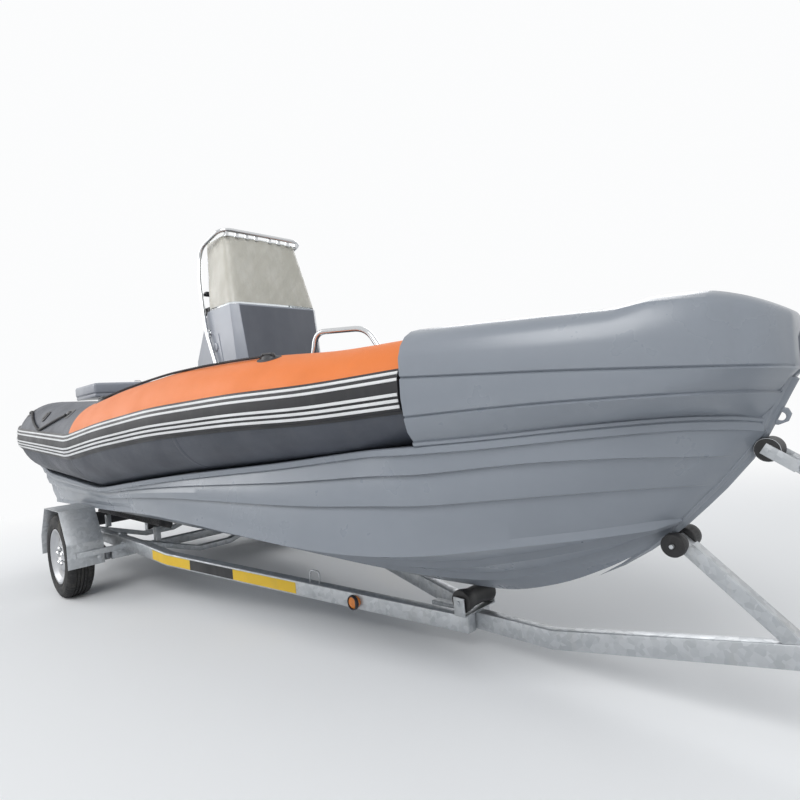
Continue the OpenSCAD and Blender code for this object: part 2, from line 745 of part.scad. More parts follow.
stop_z = keel_z + 625;
stop_r = 36;
stem_lean = atan((660 - 555) / (90 * kx));
stop_x = lookup(stop_z - keel_z, [for (r = stem_table) [r[1], r[0]]]) + (stop_r + 2 * eps) / sin(stem_lean);
module bow_stop() {
    a = [stop_x, 0, stop_z];
    b = [post_x - post_w / 2 - eps, 0, post_top - 60];
    color([0.62, 0.64, 0.67]) {
        difference() {
            beam(a + 58 * unit(b - a), b + 40 * unit(b - a), 40, 40);
            translate([post_x - post_w / 2 - eps, -50, 0])
                cube([300, 100, 2000]);
        }
        for (s = [-1, 1])
            beam(a - 12 * unit(b - a) + [0, s * 42, 0], a + 90 * unit(b - a) + [0, s * 42, 0], 6, 36);
        translate(a + 84 * unit(b - a) + [-4, -45, -16])
            cube([10, 90, 32]);
    }
    color([0.06, 0.06, 0.07])
        translate(a)
            rotate([90, 0, 0])
                cylinder(h = 77, r = stop_r, center = true, $fn = 48);
    color([0.6, 0.6, 0.62])
        translate(a)
            rotate([90, 0, 0])
                cylinder(h = 100, d = 12, center = true, $fn = 32);
}

winch_z = post_top + 62;
module winch_frame() {
    color([0.30, 0.32, 0.34])
        difference() {
            translate([post_x - 60, -44, post_top + 2 * eps])
                cube([120, 88, 96]);
            translate([post_x - 61, -39, post_top + 7])
                cube([122, 78, 100]);
            translate([post_x, 0, winch_z])
                rotate([90, 0, 0])
                    cylinder(h = 100, d = 16.1, center = true, $fn = 40);
        }
}

module winch_drum() {
    color([0.55, 0.56, 0.58]) {
        translate([post_x, 0, winch_z])
            rotate([90, 0, 0]) {
                cylinder(h = 150, d = 16, center = true, $fn = 40);
                cylinder(h = 64, d = 40, center = true, $fn = 40);
                for (z = [-34, 30])
                    translate([0, 0, z])
                        cylinder(h = 4, d = 84, $fn = 48);
            }
        translate([post_x, -75, winch_z]) {
            rotate([90, 0, 0])
                cylinder(h = 12, d = 30, $fn = 32);
            translate([-11, -12, 0])
                cube([22, 8, 190]);
            translate([0, -4, 178])
                rotate([90, 0, 0])
                    cylinder(h = 110, d = 26, $fn = 32);
        }
    }
}

jockey_y = -72;
jockey_r = jockey_d / 2;
fork_top = jockey_d + 22;
tube_low = fork_top + 110;
module jockey_clamp() {
    z = bar_z(jockey_x);
    color([0.62, 0.64, 0.67])
        difference() {
            union() {
                translate([jockey_x, jockey_y, tube_low])
                    cylinder(h = 420, d = 60, $fn = 48);
                translate([jockey_x - 35, jockey_y, z - 20])
                    cube([70, -jockey_y - drawbar_w / 2 - eps, 70]);
            }
            translate([jockey_x, jockey_y, tube_low - 81])
                cylinder(h = 490, d = 50, $fn = 48);
        }
}

module jockey_leg() {
    color([0.66, 0.68, 0.70])
        difference() {
            translate([jockey_x, jockey_y, fork_top + 8])
                cylinder(h = 330, d = 49.9, $fn = 48);
            translate([jockey_x, jockey_y, fork_top + 7])
                cylinder(h = 21, d = 24.1, $fn = 40);
        }
}

module jockey_fork() {
    color([0.60, 0.62, 0.64]) {
        translate([jockey_x, jockey_y, fork_top])
            cylinder(h = 26, d = 24, $fn = 40);
        translate([jockey_x - 60, jockey_y - 42, fork_top - 6])
            cube([85, 84, 7]);
        for (s = [-1, 1])
            translate([jockey_x, jockey_y + s * 39, 0])
                rotate([90, 0, 0])
                    translate([0, 0, -3])
                        linear_extrude(6)
                            polygon([[-60, fork_top], [25, fork_top], [-20, jockey_r - 16], [-58, jockey_r - 16]]);
        translate([jockey_x - 40, jockey_y, jockey_r])
            rotate([90, 0, 0])
                cylinder(h = 90, d = 16, center = true, $fn = 32);
    }
}

module jockey_wheel() {
    color([0.12, 0.12, 0.13])
        translate([jockey_x - 40, jockey_y, jockey_r])
            rotate([90, 0, 0])
                rotate_extrude($fn = 72)
                    polygon([[8.05, -32], [22, -32], [26, -14], [jockey_r - 34, -14], [jockey_r - 30, -28],
                        [jockey_r - 10, -30], [jockey_r, -16], [jockey_r, 16], [jockey_r - 10, 30],
                        [jockey_r - 30, 28], [jockey_r - 34, 14], [26, 14], [22, 32], [8.05, 32]]);
}

board_x = -1040;
board_z = 300;
module light_board() {
    color([0.62, 0.64, 0.67]) {
        translate([board_x, -800, board_z])
            cube([30, 1600, 120]);
        both()
            translate([board_x + 30, rail_y - 20, rail_z - 20])
                cube([110 - eps, 40, 40]);
    }
}

module rear_lamps() {
    color([0.65, 0.08, 0.08])
        both()
            translate([board_x - 42, 560, board_z + 8])
                cube([42 - eps, 220, 104]);
}

module number_plate() {
    color([0.92, 0.92, 0.90])
        translate([board_x - 8, -260, board_z + 4])
            cube([8 - eps, 520, 112]);
}

function rail_at(x) = let (ys = [[-900, rail_y], [420, rail_y], [640, rail_y - 18], [rail_mid[0], rail_mid[1]],
    [rail_end[0], rail_end[1]]], zs = [[-900, rail_z], [420, rail_z], [640, rail_z - 12],
    [rail_mid[0], rail_mid[2]], [rail_end[0], rail_end[2]]]) [x, lookup(x, ys), lookup(x, zs)];
rail_turn = -atan((rail_mid[1] - rail_end[1]) / (rail_end[0] - rail_mid[0]));

module side_lamps() {
    color([0.95, 0.50, 0.08])
        both()
            translate(rail_at(2330) + [0, rail_w / 2, 0])
                rotate([0, 0, rail_turn])
                    translate([0, eps, 0])
                        rotate([-90, 0, 0])
                            cylinder(h = 22, d = 62, $fn = 48);
}

module lashing_loops() {
    color([0.60, 0.62, 0.65])
        both()
            for (x = [2050, -350]) {
                p = rail_at(x) + [0, 0, rail_h / 2 + 2 * eps];
                turn = x > 0 ? rail_turn : 0;
                pitch = x > 0 ? atan((rail_mid[2] - rail_end[2]) / (rail_end[0] - rail_mid[0])) : 0;
                translate(p)
                    rotate([0, pitch, turn])
                        bar(rounded([[-32, 0, 0], [-32, 0, 62], [32, 0, 62], [32, 0, 0]], 26, 4), 5, 8);
            }
}

hull();
cockpit_floor();
transom();
bow_shell();
bow_locker_lid();
bow_eye();
tube_starboard();
tube_port();
strake_starboard();
strake_port();
tube_fittings_starboard();
tube_fittings_port();
lifeline_starboard();
lifeline_port();
grab_rail_starboard();
grab_rail_port();
console();
windscreen();
windscreen_rail();
steering_wheel();
stern_locker();
stern_locker_lid();
side_rails();
cross_members();
drawbar();
coupling();
axle_beam();
suspension_arm_starboard();
suspension_arm_port();
rim_starboard();
rim_port();
tyre_starboard();
tyre_port();
fender_starboard();
fender_port();
keel_roller_brackets();
keel_rollers();
bunk_supports();
bunks();
stem_support();
stem_rollers();
winch_post();
bow_stop();
winch_frame();
winch_drum();
jockey_clamp();
jockey_leg();
jockey_fork();
jockey_wheel();
light_board();
rear_lamps();
number_plate();
side_lamps();
lashing_loops();
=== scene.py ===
import math

import bmesh
import bpy
import numpy as np
from mathutils import Matrix, Vector


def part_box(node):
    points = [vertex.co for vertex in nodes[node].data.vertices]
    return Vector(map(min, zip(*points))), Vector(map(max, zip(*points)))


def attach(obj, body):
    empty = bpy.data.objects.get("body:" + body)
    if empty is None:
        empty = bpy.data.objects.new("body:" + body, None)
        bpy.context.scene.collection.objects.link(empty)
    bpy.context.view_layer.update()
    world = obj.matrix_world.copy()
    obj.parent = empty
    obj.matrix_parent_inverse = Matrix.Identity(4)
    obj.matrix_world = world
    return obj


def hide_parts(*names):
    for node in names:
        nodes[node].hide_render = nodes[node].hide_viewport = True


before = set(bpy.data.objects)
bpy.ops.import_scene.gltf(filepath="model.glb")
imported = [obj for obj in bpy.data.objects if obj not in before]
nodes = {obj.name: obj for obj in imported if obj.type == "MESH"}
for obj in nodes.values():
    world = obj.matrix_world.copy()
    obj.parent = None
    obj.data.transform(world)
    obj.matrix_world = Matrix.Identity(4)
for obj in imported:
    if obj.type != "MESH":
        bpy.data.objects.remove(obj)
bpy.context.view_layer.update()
boatBody = "boat_and_trailer"
print("frame loaded:", len(nodes), "nodes")


# small mesh tools

def roundsOf(name, verts, faces, sharpAngle=35, smooth=True):
    mesh = bpy.data.meshes.new(name)
    mesh.from_pydata([tuple(map(float, v)) for v in verts], [], [tuple(map(int, f)) for f in faces])
    mesh.update()
    piece = bpy.data.objects.new(name, mesh)
    bpy.context.scene.collection.objects.link(piece)
    if smooth:
        mesh.polygons.foreach_set("use_smooth", [True] * len(mesh.polygons))
        mesh.set_sharp_from_angle(angle=math.radians(sharpAngle))
    return piece


def settle(piece, material, body=boatBody, stands=()):
    piece.data.materials.clear()
    piece.data.materials.append(material)
    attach(piece, body)
    if stands:
        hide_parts(*stands)
    return piece


def skinOf(rings, closed=True, caps=True):
    rings = [np.asarray(r, float) for r in rings]
    n = len(rings[0])
    verts = np.concatenate(rings)
    faces = []
    last = n if closed else n - 1
    for i in range(len(rings) - 1):
        for j in range(last):
            k = (j + 1) % n
            faces.append((i * n + j, i * n + k, (i + 1) * n + k, (i + 1) * n + j))
    if caps:
        faces.append(tuple(range(n - 1, -1, -1)))
        faces.append(tuple((len(rings) - 1) * n + j for j in range(n)))
    return verts, faces


def joinParts(parts):
    verts, faces, start = [], [], 0
    for v, f in parts:
        verts.append(np.asarray(v, float).reshape(-1, 3))
        faces += [tuple(i + start for i in face) for face in f]
        start += len(verts[-1])
    return np.concatenate(verts), faces


def faceOutward(piece):
    work = bmesh.new()
    work.from_mesh(piece.data)
    bmesh.ops.recalc_face_normals(work, faces=work.faces)
    work.to_mesh(piece.data)
    work.free()
    return piece


def turnTo(direction):
    return np.array(Vector(direction).normalized().to_track_quat("Z", "Y").to_matrix())


def placed(part, at, direction=(0, 0, 1)):
    verts, faces = part
    return np.asarray(verts, float) @ turnTo(direction).T + np.asarray(at, float), faces


def turned(profile, segments=32):
    angles = np.arange(segments) * 2 * math.pi / segments
    ring = [[(r * math.cos(a), r * math.sin(a), z) for a in angles] for r, z in profile]
    return skinOf(ring)


def hexHead(radius, height):
    return turned([(radius * 0.9, 0), (radius, height * 0.12), (radius, height * 0.8),
                   (radius * 0.86, height)], 6)


def boltSet(at, direction, radius=0.009):
    washer = turned([(radius * 1.75, 0), (radius * 1.75, radius * 0.26), (radius * 1.5, radius * 0.3)], 24)
    head = hexHead(radius, radius * 1.05)
    thread = turned([(radius * 0.56, 0), (radius * 0.56, radius * 1.5), (radius * 0.4, radius * 1.7)], 16)
    lift = np.array([0, 0, radius * 0.3])
    return [placed(washer, at, direction), placed((head[0] + lift, head[1]), at, direction),
            placed(thread, at, direction)]


def softBox(low, high, edge=0.003, steps=2):
    work = bmesh.new()
    bmesh.ops.create_cube(work, size=1)
    low, high = Vector(low), Vector(high)
    for v in work.verts:
        v.co = Vector((low[i] + (v.co[i] + 0.5) * (high[i] - low[i]) for i in range(3)))
    bmesh.ops.bevel(work, geom=work.edges[:], offset=edge, segments=steps, affect="EDGES", profile=0.5)
    work.verts.index_update()
    part = (np.array([v.co[:] for v in work.verts]), [tuple(v.index for v in f.verts) for f in work.faces])
    work.free()
    return part


def roundPath(points, radius, steps=6):
    points = [np.asarray(p, float) for p in points]
    path = [points[0]]
    for before, corner, after in zip(points, points[1:], points[2:]):
        reach = min(radius, np.linalg.norm(corner - before) / 2, np.linalg.norm(after - corner) / 2)
        a = corner + (before - corner) / np.linalg.norm(before - corner) * reach
        c = corner + (after - corner) / np.linalg.norm(after - corner) * reach
        for t in np.linspace(0, 1, steps + 1):
            path.append((1 - t) ** 2 * a + 2 * t * (1 - t) * corner + t * t * c)
    path.append(points[-1])
    return np.array(path)


def evenPath(path, gap):
    path = np.asarray(path, float)
    run = np.concatenate([[0], np.cumsum(np.linalg.norm(np.diff(path, axis=0), axis=1))])
    at = np.linspace(0, run[-1], max(3, int(run[-1] / gap) + 1))
    return np.stack([np.interp(at, run, path[:, i]) for i in range(3)], 1)


def sweep(path, section, twist=0.0):
    path = np.asarray(path, float)
    section = np.asarray(section, float)
    ways = np.gradient(path, axis=0)
    ways /= np.linalg.norm(ways, axis=1)[:, None]
    side = np.cross(ways[0], (0, 0, 1) if abs(ways[0][2]) < 0.9 else (0, 1, 0))
    rings, travelled = [], 0.0
    for i, way in enumerate(ways):
        side = side - way * (side @ way)
        side /= np.linalg.norm(side)
        other = np.cross(way, side)
        if i:
            travelled += np.linalg.norm(path[i] - path[i - 1])
        c, s = math.cos(twist * travelled), math.sin(twist * travelled)
        flat = section @ np.array([[c, s], [-s, c]])
        rings.append(path[i] + flat[:, :1] * side + flat[:, 1:] * other)
    return skinOf(rings)


def circle(radius, sides=20):
    a = np.arange(sides) * 2 * math.pi / sides
    return np.stack([radius * np.cos(a), radius * np.sin(a)], 1)


# the CAD node's own shape with rounded edges
def softened(node, edge=0.002, steps=2, angle=32):
    source = nodes[node]
    work = bmesh.new()
    work.from_mesh(source.data)
    bmesh.ops.remove_doubles(work, verts=work.verts, dist=2e-6)
    bmesh.ops.dissolve_limit(work, angle_limit=math.radians(0.6), verts=work.verts, edges=work.edges)
    folds = [e for e in work.edges if len(e.link_faces) == 2 and e.calc_face_angle(0) > math.radians(angle)]
    if edge:
        bmesh.ops.bevel(work, geom=folds, offset=edge, segments=steps, affect="EDGES", profile=0.5,
                        clamp_overlap=True)
    bmesh.ops.recalc_face_normals(work, faces=work.faces)
    mesh = bpy.data.meshes.new(node + "_worked")
    work.to_mesh(mesh)
    work.free()
    mesh.polygons.foreach_set("use_smooth", [True] * len(mesh.polygons))
    mesh.set_sharp_from_angle(angle=math.radians(40))
    piece = bpy.data.objects.new(node + "_worked", mesh)
    bpy.context.scene.collection.objects.link(piece)
    return piece


# shader groups shared by the finishes

def newGroup(name, inputs, outputs):
    tree = bpy.data.node_groups.new(name, "ShaderNodeTree")
    for label, kind, value in inputs:
        socket = tree.interface.new_socket(label, in_out="INPUT", socket_type=kind)
        socket.default_value = value
    for label, kind in outputs:
        tree.interface.new_socket(label, in_out="OUTPUT", socket_type=kind)
    return tree, tree.nodes.new("NodeGroupInput"), tree.nodes.new("NodeGroupOutput")


def add(tree, kind, **values):
    node = tree.nodes.new(kind)
    for key, value in values.items():
        if key in node.inputs:
            node.inputs[key].default_value = value
        else:
            setattr(node, key, value)
    return node


def mathNode(tree, operation, a, b=0.5, clamp=False):
    node = tree.nodes.new("ShaderNodeMath")
    node.operation = operation
    node.use_clamp = clamp
    for socket, value in zip(node.inputs, (a, b)):
        if isinstance(value, (int, float)):
            socket.default_value = value
        else:
            tree.links.new(value, socket)
    return node.outputs[0]


def makeGrainGroup():
    tree, given, put = newGroup("surfaceGrain", [("Scale", "NodeSocketFloat", 400.0),
                                                 ("Coarse", "NodeSocketFloat", 6.0)],
                                [("Height", "NodeSocketFloat"), ("Patches", "NodeSocketFloat")])
    place = add(tree, "ShaderNodeTexCoord")
    fine = add(tree, "ShaderNodeTexNoise", Detail=3.0, Roughness=0.6)
    broad = add(tree, "ShaderNodeTexNoise", Detail=4.0, Roughness=0.55)
    for node, label in ((fine, "Scale"), (broad, "Coarse")):
        tree.links.new(place.outputs["Object"], node.inputs["Vector"])
        tree.links.new(given.outputs[label], node.inputs["Scale"])
    tree.links.new(fine.outputs["Fac"], put.inputs["Height"])
    spread = add(tree, "ShaderNodeMapRange")
    spread.inputs["From Min"].default_value = 0.35
    spread.inputs["From Max"].default_value = 0.65
    tree.links.new(broad.outputs["Fac"], spread.inputs["Value"])
    tree.links.new(spread.outputs["Result"], put.inputs["Patches"])
    return tree


def makeStreakGroup():
    tree, given, put = newGroup("runMarks", [("Scale", "NodeSocketFloat", 9.0),
                                             ("Amount", "NodeSocketFloat", 0.4)],
                                [("Mask", "NodeSocketFloat")])
    place = add(tree, "ShaderNodeTexCoord")
    stretch = add(tree, "ShaderNodeMapping")
    stretch.inputs["Scale"].default_value = (1.0, 1.0, 0.16)
    marks = add(tree, "ShaderNodeTexNoise", Detail=5.0, Roughness=0.65)
    tree.links.new(place.outputs["Object"], stretch.inputs["Vector"])
    tree.links.new(stretch.outputs["Vector"], marks.inputs["Vector"])
    tree.links.new(given.outputs["Scale"], marks.inputs["Scale"])
    lifted = mathNode(tree, "SUBTRACT", marks.outputs["Fac"], 0.5)
    strong = mathNode(tree, "MULTIPLY", lifted, 4.0, True)
    tree.links.new(mathNode(tree, "MULTIPLY", strong, given.outputs["Amount"], True), put.inputs["Mask"])
    return tree


def makeWearGroup():
    tree, given, put = newGroup("edgeWear", [("Reach", "NodeSocketFloat", 0.53),
                                             ("Amount", "NodeSocketFloat", 0.6)],
                                [("Mask", "NodeSocketFloat")])
    geometry = add(tree, "ShaderNodeNewGeometry")
    place = add(tree, "ShaderNodeTexCoord")
    broken = add(tree, "ShaderNodeTexNoise", Scale=60.0, Detail=4.0)
    tree.links.new(place.outputs["Object"], broken.inputs["Vector"])
    raised = mathNode(tree, "SUBTRACT", geometry.outputs["Pointiness"], given.outputs["Reach"])
    edge = mathNode(tree, "MULTIPLY", raised, 14.0, True)
    patchy = mathNode(tree, "MULTIPLY", edge, broken.outputs["Fac"])
    tree.links.new(mathNode(tree, "MULTIPLY", patchy, given.outputs["Amount"], True), put.inputs["Mask"])
    return tree


def makeSpangleGroup():
    tree, given, put = newGroup("zincSpangle", [("Scale", "NodeSocketFloat", 55.0)],
                                [("Shade", "NodeSocketFloat"), ("Height", "NodeSocketFloat")])
    place = add(tree, "ShaderNodeTexCoord")
    cells = add(tree, "ShaderNodeTexVoronoi", Randomness=1.0)
    bloom = add(tree, "ShaderNodeTexNoise", Scale=7.0, Detail=6.0, Roughness=0.6)
    tree.links.new(place.outputs["Object"], cells.inputs["Vector"])
    tree.links.new(place.outputs["Object"], bloom.inputs["Vector"])
    tree.links.new(given.outputs["Scale"], cells.inputs["Scale"])
    tone = add(tree, "ShaderNodeSeparateColor")
    tree.links.new(cells.outputs["Color"], tone.inputs["Color"])
    part = mathNode(tree, "MULTIPLY", tone.outputs["Red"], 0.45)
    whole = mathNode(tree, "ADD", part, mathNode(tree, "MULTIPLY", bloom.outputs["Fac"], 0.75))
    tree.links.new(mathNode(tree, "SUBTRACT", whole, 0.1, True), put.inputs["Shade"])
    tree.links.new(bloom.outputs["Fac"], put.inputs["Height"])
    return tree


def makeWeaveGroup():
    tree, given, put = newGroup("clothWeave", [("Scale", "NodeSocketFloat", 900.0)],
                                [("Height", "NodeSocketFloat")])
    place = add(tree, "ShaderNodeTexCoord")
    total = None
    for axis in ("X", "Z"):
        band = add(tree, "ShaderNodeTexWave", Distortion=0.4)
        band.bands_direction = axis
        tree.links.new(place.outputs["Object"], band.inputs["Vector"])
        tree.links.new(given.outputs["Scale"], band.inputs["Scale"])
        total = band.outputs["Fac"] if total is None else mathNode(tree, "MULTIPLY", total, band.outputs["Fac"])
    tree.links.new(total, put.inputs["Height"])
    return tree


grainGroup, streakGroup, wearGroup = makeGrainGroup(), makeStreakGroup(), makeWearGroup()
spangleGroup, weaveGroup = makeSpangleGroup(), makeWeaveGroup()


def useGroup(tree, group, **values):
    node = tree.nodes.new("ShaderNodeGroup")
    node.node_tree = group
    for key, value in values.items():
        node.inputs[key].default_value = value
    return node


def mixColour(tree, factor, first, second):
    node = tree.nodes.new("ShaderNodeMix")
    node.data_type = "RGBA"
    sockets = [s for s in node.inputs if s.type == "RGBA"]
    if isinstance(factor, (int, float)):
        node.inputs[0].default_value = factor
    else:
        tree.links.new(factor, node.inputs[0])
    for socket, value in zip(sockets, (first, second)):
        if isinstance(value, tuple):
            socket.default_value = (*value, 1)
        else:
            tree.links.new(value, socket)
    return [s for s in node.outputs if s.type == "RGBA"][0]


def spreadValue(tree, value, low, high):
    node = add(tree, "ShaderNodeMapRange")
    node.inputs["To Min"].default_value = low
    node.inputs["To Max"].default_value = high
    tree.links.new(value, node.inputs["Value"])
    return node.outputs["Result"]


def bumpOf(tree, shader, height, strength, distance=0.001):
    bump = add(tree, "ShaderNodeBump")
    bump.inputs["Strength"].default_value = strength
    bump.inputs["Distance"].default_value = distance
    tree.links.new(height, bump.inputs["Height"])
    tree.links.new(bump.outputs["Normal"], shader.inputs["Normal"])


def newFinish(name, **values):
    finish = bpy.data.materials.new(name)
    finish.use_nodes = True
    tree = finish.node_tree
    shader = tree.nodes["Principled BSDF"]
    for key, value in values.items():
        shader.inputs[key.replace("_", " ")].default_value = value
    return finish, tree, shader


def dustyFinish(name, colour, dust=(0.42, 0.40, 0.36), rough=(0.4, 0.55), grain=420.0, bump=0.15, grime=0.25,
                wear=0.0, worn=(0.6, 0.6, 0.6), shade=0.88, **values):
    finish, tree, shader = newFinish(name, **values)
    surface = useGroup(tree, grainGroup, Scale=grain, Coarse=5.0)
    runs = useGroup(tree, streakGroup, Scale=7.0, Amount=grime)
    deep = tuple(c * shade for c in colour)
    base = mixColour(tree, surface.outputs["Patches"], colour, deep)
    base = mixColour(tree, runs.outputs["Mask"], base, dust)
    if wear:
        edges = useGroup(tree, wearGroup, Reach=0.54, Amount=wear)
        base = mixColour(tree, edges.outputs["Mask"], base, worn)
    tree.links.new(base, shader.inputs["Base Color"])
    tree.links.new(spreadValue(tree, surface.outputs["Patches"], *rough), shader.inputs["Roughness"])
    bumpOf(tree, shader, surface.outputs["Height"], bump)
    return finish


def zincFinish(name, light, dark, rough=(0.34, 0.52), metal=0.75):
    finish, tree, shader = newFinish(name, Metallic=metal)
    zinc = useGroup(tree, spangleGroup, Scale=48.0)
    runs = useGroup(tree, streakGroup, Scale=11.0, Amount=0.3)
    base = mixColour(tree, zinc.outputs["Shade"], dark, light)
    base = mixColour(tree, runs.outputs["Mask"], base, (0.48, 0.46, 0.42))
    tree.links.new(base, shader.inputs["Base Color"])
    tree.links.new(spreadValue(tree, zinc.outputs["Shade"], rough[1], rough[0]), shader.inputs["Roughness"])
    bumpOf(tree, shader, zinc.outputs["Height"], 0.12, 0.002)
    return finish


def clothFinish(name, colour, weave, rough=(0.5, 0.66), sheen=0.0, bump=0.25, shade=0.85, grime=0.2,
                dust=(0.4, 0.39, 0.36)):
    finish, tree, shader = newFinish(name, Sheen_Weight=sheen)
    surface = useGroup(tree, grainGroup, Scale=260.0, Coarse=4.0)
    threads = useGroup(tree, weaveGroup, Scale=weave)
    runs = useGroup(tree, streakGroup, Scale=5.0, Amount=grime)
    base = mixColour(tree, surface.outputs["Patches"], colour, tuple(c * shade for c in colour))
    base = mixColour(tree, runs.outputs["Mask"], base, dust)
    tree.links.new(base, shader.inputs["Base Color"])
    tree.links.new(spreadValue(tree, surface.outputs["Patches"], *rough), shader.inputs["Roughness"])
    both = mathNode(tree, "ADD", threads.outputs["Height"], surface.outputs["Height"])
    bumpOf(tree, shader, both, bump, 0.0006)
    return finish


hullPaint = dustyFinish("hullPaint", (0.222, 0.246, 0.282), rough=(0.26, 0.36), grain=900.0, bump=0.03,
                        grime=0.03,
                        shade=0.95, wear=0.12, worn=(0.32, 0.34, 0.39), dust=(0.28, 0.29, 0.31),
                        Coat_Weight=0.25,
                        Coat_Roughness=0.22)
lidPaint = dustyFinish("lidPaint", (0.30, 0.32, 0.37), rough=(0.28, 0.4), grain=900.0, bump=0.05, grime=0.08,
                       shade=0.94, Coat_Weight=0.2)
deckGrip = dustyFinish("deckGrip", (0.40, 0.42, 0.45), rough=(0.6, 0.8), grain=520.0, bump=0.7, grime=0.3)
tubeCloth = clothFinish("tubeCloth", (0.060, 0.068, 0.088), 620.0, rough=(0.42, 0.56), bump=0.22, shade=0.8,
                        grime=0.16,
                        dust=(0.17, 0.17, 0.18))
orangeCloth = clothFinish("orangeCloth", (0.76, 0.190, 0.032), 620.0, rough=(0.42, 0.54), bump=0.18,
                          shade=0.92, grime=0.05,
                          dust=(0.62, 0.26, 0.10))
strakeRubber = dustyFinish("strakeRubber", (0.018, 0.018, 0.021), rough=(0.36, 0.52), grain=700.0, bump=0.14,
                           grime=0.2,
                           dust=(0.12, 0.12, 0.12))
strakeWhite = dustyFinish("strakeWhite", (0.74, 0.75, 0.76), rough=(0.42, 0.56), grain=700.0, bump=0.1,
                          grime=0.22,
                          dust=(0.42, 0.40, 0.36))
blackPlastic = dustyFinish("blackPlastic", (0.02, 0.02, 0.023), rough=(0.38, 0.55), grain=800.0, bump=0.25,
                           grime=0.15,
                           wear=0.4, worn=(0.10, 0.10, 0.10), dust=(0.10, 0.10, 0.10))
ropeCloth = clothFinish("ropeCloth", (0.022, 0.022, 0.026), 1500.0, rough=(0.7, 0.85), bump=0.5,
                        dust=(0.12, 0.11, 0.10))
consolePaint = dustyFinish("consolePaint", (0.30, 0.325, 0.375), rough=(0.3, 0.42), grain=900.0, bump=0.05,
                           grime=0.1,
                           shade=0.93, Coat_Weight=0.2, Coat_Roughness=0.25)
# painted shade: a darker copy of consolePaint for the console's front face, which stands in shade
consolePaintedShade = dustyFinish("consolePaintedShade", (0.115, 0.125, 0.15), rough=(0.36, 0.5), grain=800.0, bump=0.1,
                           grime=0.14,
                           dust=(0.24, 0.24, 0.25))
galvanised = zincFinish("galvanised", (0.60, 0.62, 0.64), (0.36, 0.38, 0.40))
darkSteel = zincFinish("darkSteel", (0.30, 0.31, 0.33), (0.14, 0.15, 0.16), rough=(0.4, 0.6))
rimSilver = dustyFinish("rimSilver", (0.52, 0.53, 0.55), rough=(0.28, 0.42), grain=900.0, bump=0.06, grime=0.45,
                        dust=(0.30, 0.28, 0.24), Metallic=0.7, wear=0.2, worn=(0.7, 0.7, 0.7))
tyreRubber = dustyFinish("tyreRubber", (0.017, 0.017, 0.018), rough=(0.7, 0.88), grain=520.0, bump=0.35,
                         grime=0.55,
                         dust=(0.13, 0.12, 0.10))
rollerRubber = dustyFinish("rollerRubber", (0.014, 0.014, 0.015), rough=(0.45, 0.62), grain=600.0, bump=0.2,
                           grime=0.25,
                           dust=(0.10, 0.095, 0.09))
bunkCarpet = clothFinish("bunkCarpet", (0.045, 0.045, 0.048), 420.0, rough=(0.85, 0.98), sheen=0.3, bump=1.0)
warnYellow = dustyFinish("warnYellow", (0.85, 0.55, 0.03), rough=(0.35, 0.5), grain=900.0, bump=0.03, grime=0.3,
                         dust=(0.45, 0.36, 0.18))
plateWhite = dustyFinish("plateWhite", (0.76, 0.76, 0.73), rough=(0.3, 0.42), grain=900.0, bump=0.03,
                         grime=0.15)
plateBlack = dustyFinish("plateBlack", (0.025, 0.025, 0.028), rough=(0.35, 0.5), grain=900.0, bump=0.03,
                         grime=0.3,
                         dust=(0.14, 0.13, 0.12))


def makeStainless():
    finish, tree, shader = newFinish("stainless", Metallic=1.0, Base_Color=(0.62, 0.63, 0.64, 1))
    surface = useGroup(tree, grainGroup, Scale=700.0, Coarse=9.0)
    tree.links.new(spreadValue(tree, surface.outputs["Patches"], 0.10, 0.2), shader.inputs["Roughness"])
    bumpOf(tree, shader, surface.outputs["Height"], 0.02)
    return finish


def makeLens(name, colour):
    finish, tree, shader = newFinish(name, Coat_Weight=0.6, Coat_Roughness=0.05)
    place = add(tree, "ShaderNodeTexCoord")
    prisms = add(tree, "ShaderNodeTexVoronoi", Scale=170.0, Randomness=0.0)
    tree.links.new(place.outputs["Object"], prisms.inputs["Vector"])
    base = mixColour(tree, prisms.outputs["Distance"], colour, tuple(c * 0.55 for c in colour))
    tree.links.new(base, shader.inputs["Base Color"])
    shader.inputs["Roughness"].default_value = 0.12
    bumpOf(tree, shader, prisms.outputs["Distance"], 0.5, 0.001)
    return finish


def makeScreen():
    finish, tree, shader = newFinish("clearScreen", Base_Color=(0.80, 0.84, 0.86, 1), Transmission_Weight=0.92,
                                     Roughness=0.06, IOR=1.45)
    surface = useGroup(tree, grainGroup, Scale=300.0, Coarse=3.0)
    bumpOf(tree, shader, surface.outputs["Height"], 0.02)
    return finish


def makeFilm():
    finish, tree, shader = newFinish("screenFilm")
    surface = useGroup(tree, grainGroup, Scale=120.0, Coarse=7.0)
    runs = useGroup(tree, streakGroup, Scale=14.0, Amount=0.6)
    base = mixColour(tree, surface.outputs["Patches"], (0.60, 0.585, 0.52), (0.50, 0.49, 0.43))
    base = mixColour(tree, runs.outputs["Mask"], base, (0.70, 0.69, 0.64))
    tree.links.new(base, shader.inputs["Base Color"])
    tree.links.new(spreadValue(tree, surface.outputs["Patches"], 0.3, 0.5), shader.inputs["Roughness"])
    tree.links.new(spreadValue(tree, surface.outputs["Patches"], 0.78, 0.9), shader.inputs["Alpha"])
    bumpOf(tree, shader, surface.outputs["Height"], 0.2, 0.002)
    return finish


stainless, clearScreen, screenFilm = makeStainless(), makeScreen(), makeFilm()
redLens, amberLens = makeLens("redLens", (0.45, 0.012, 0.010)), makeLens("amberLens", (0.90, 0.26, 0.015))
print("finishes made")


# tubes, their panels, strakes, ropes and fittings

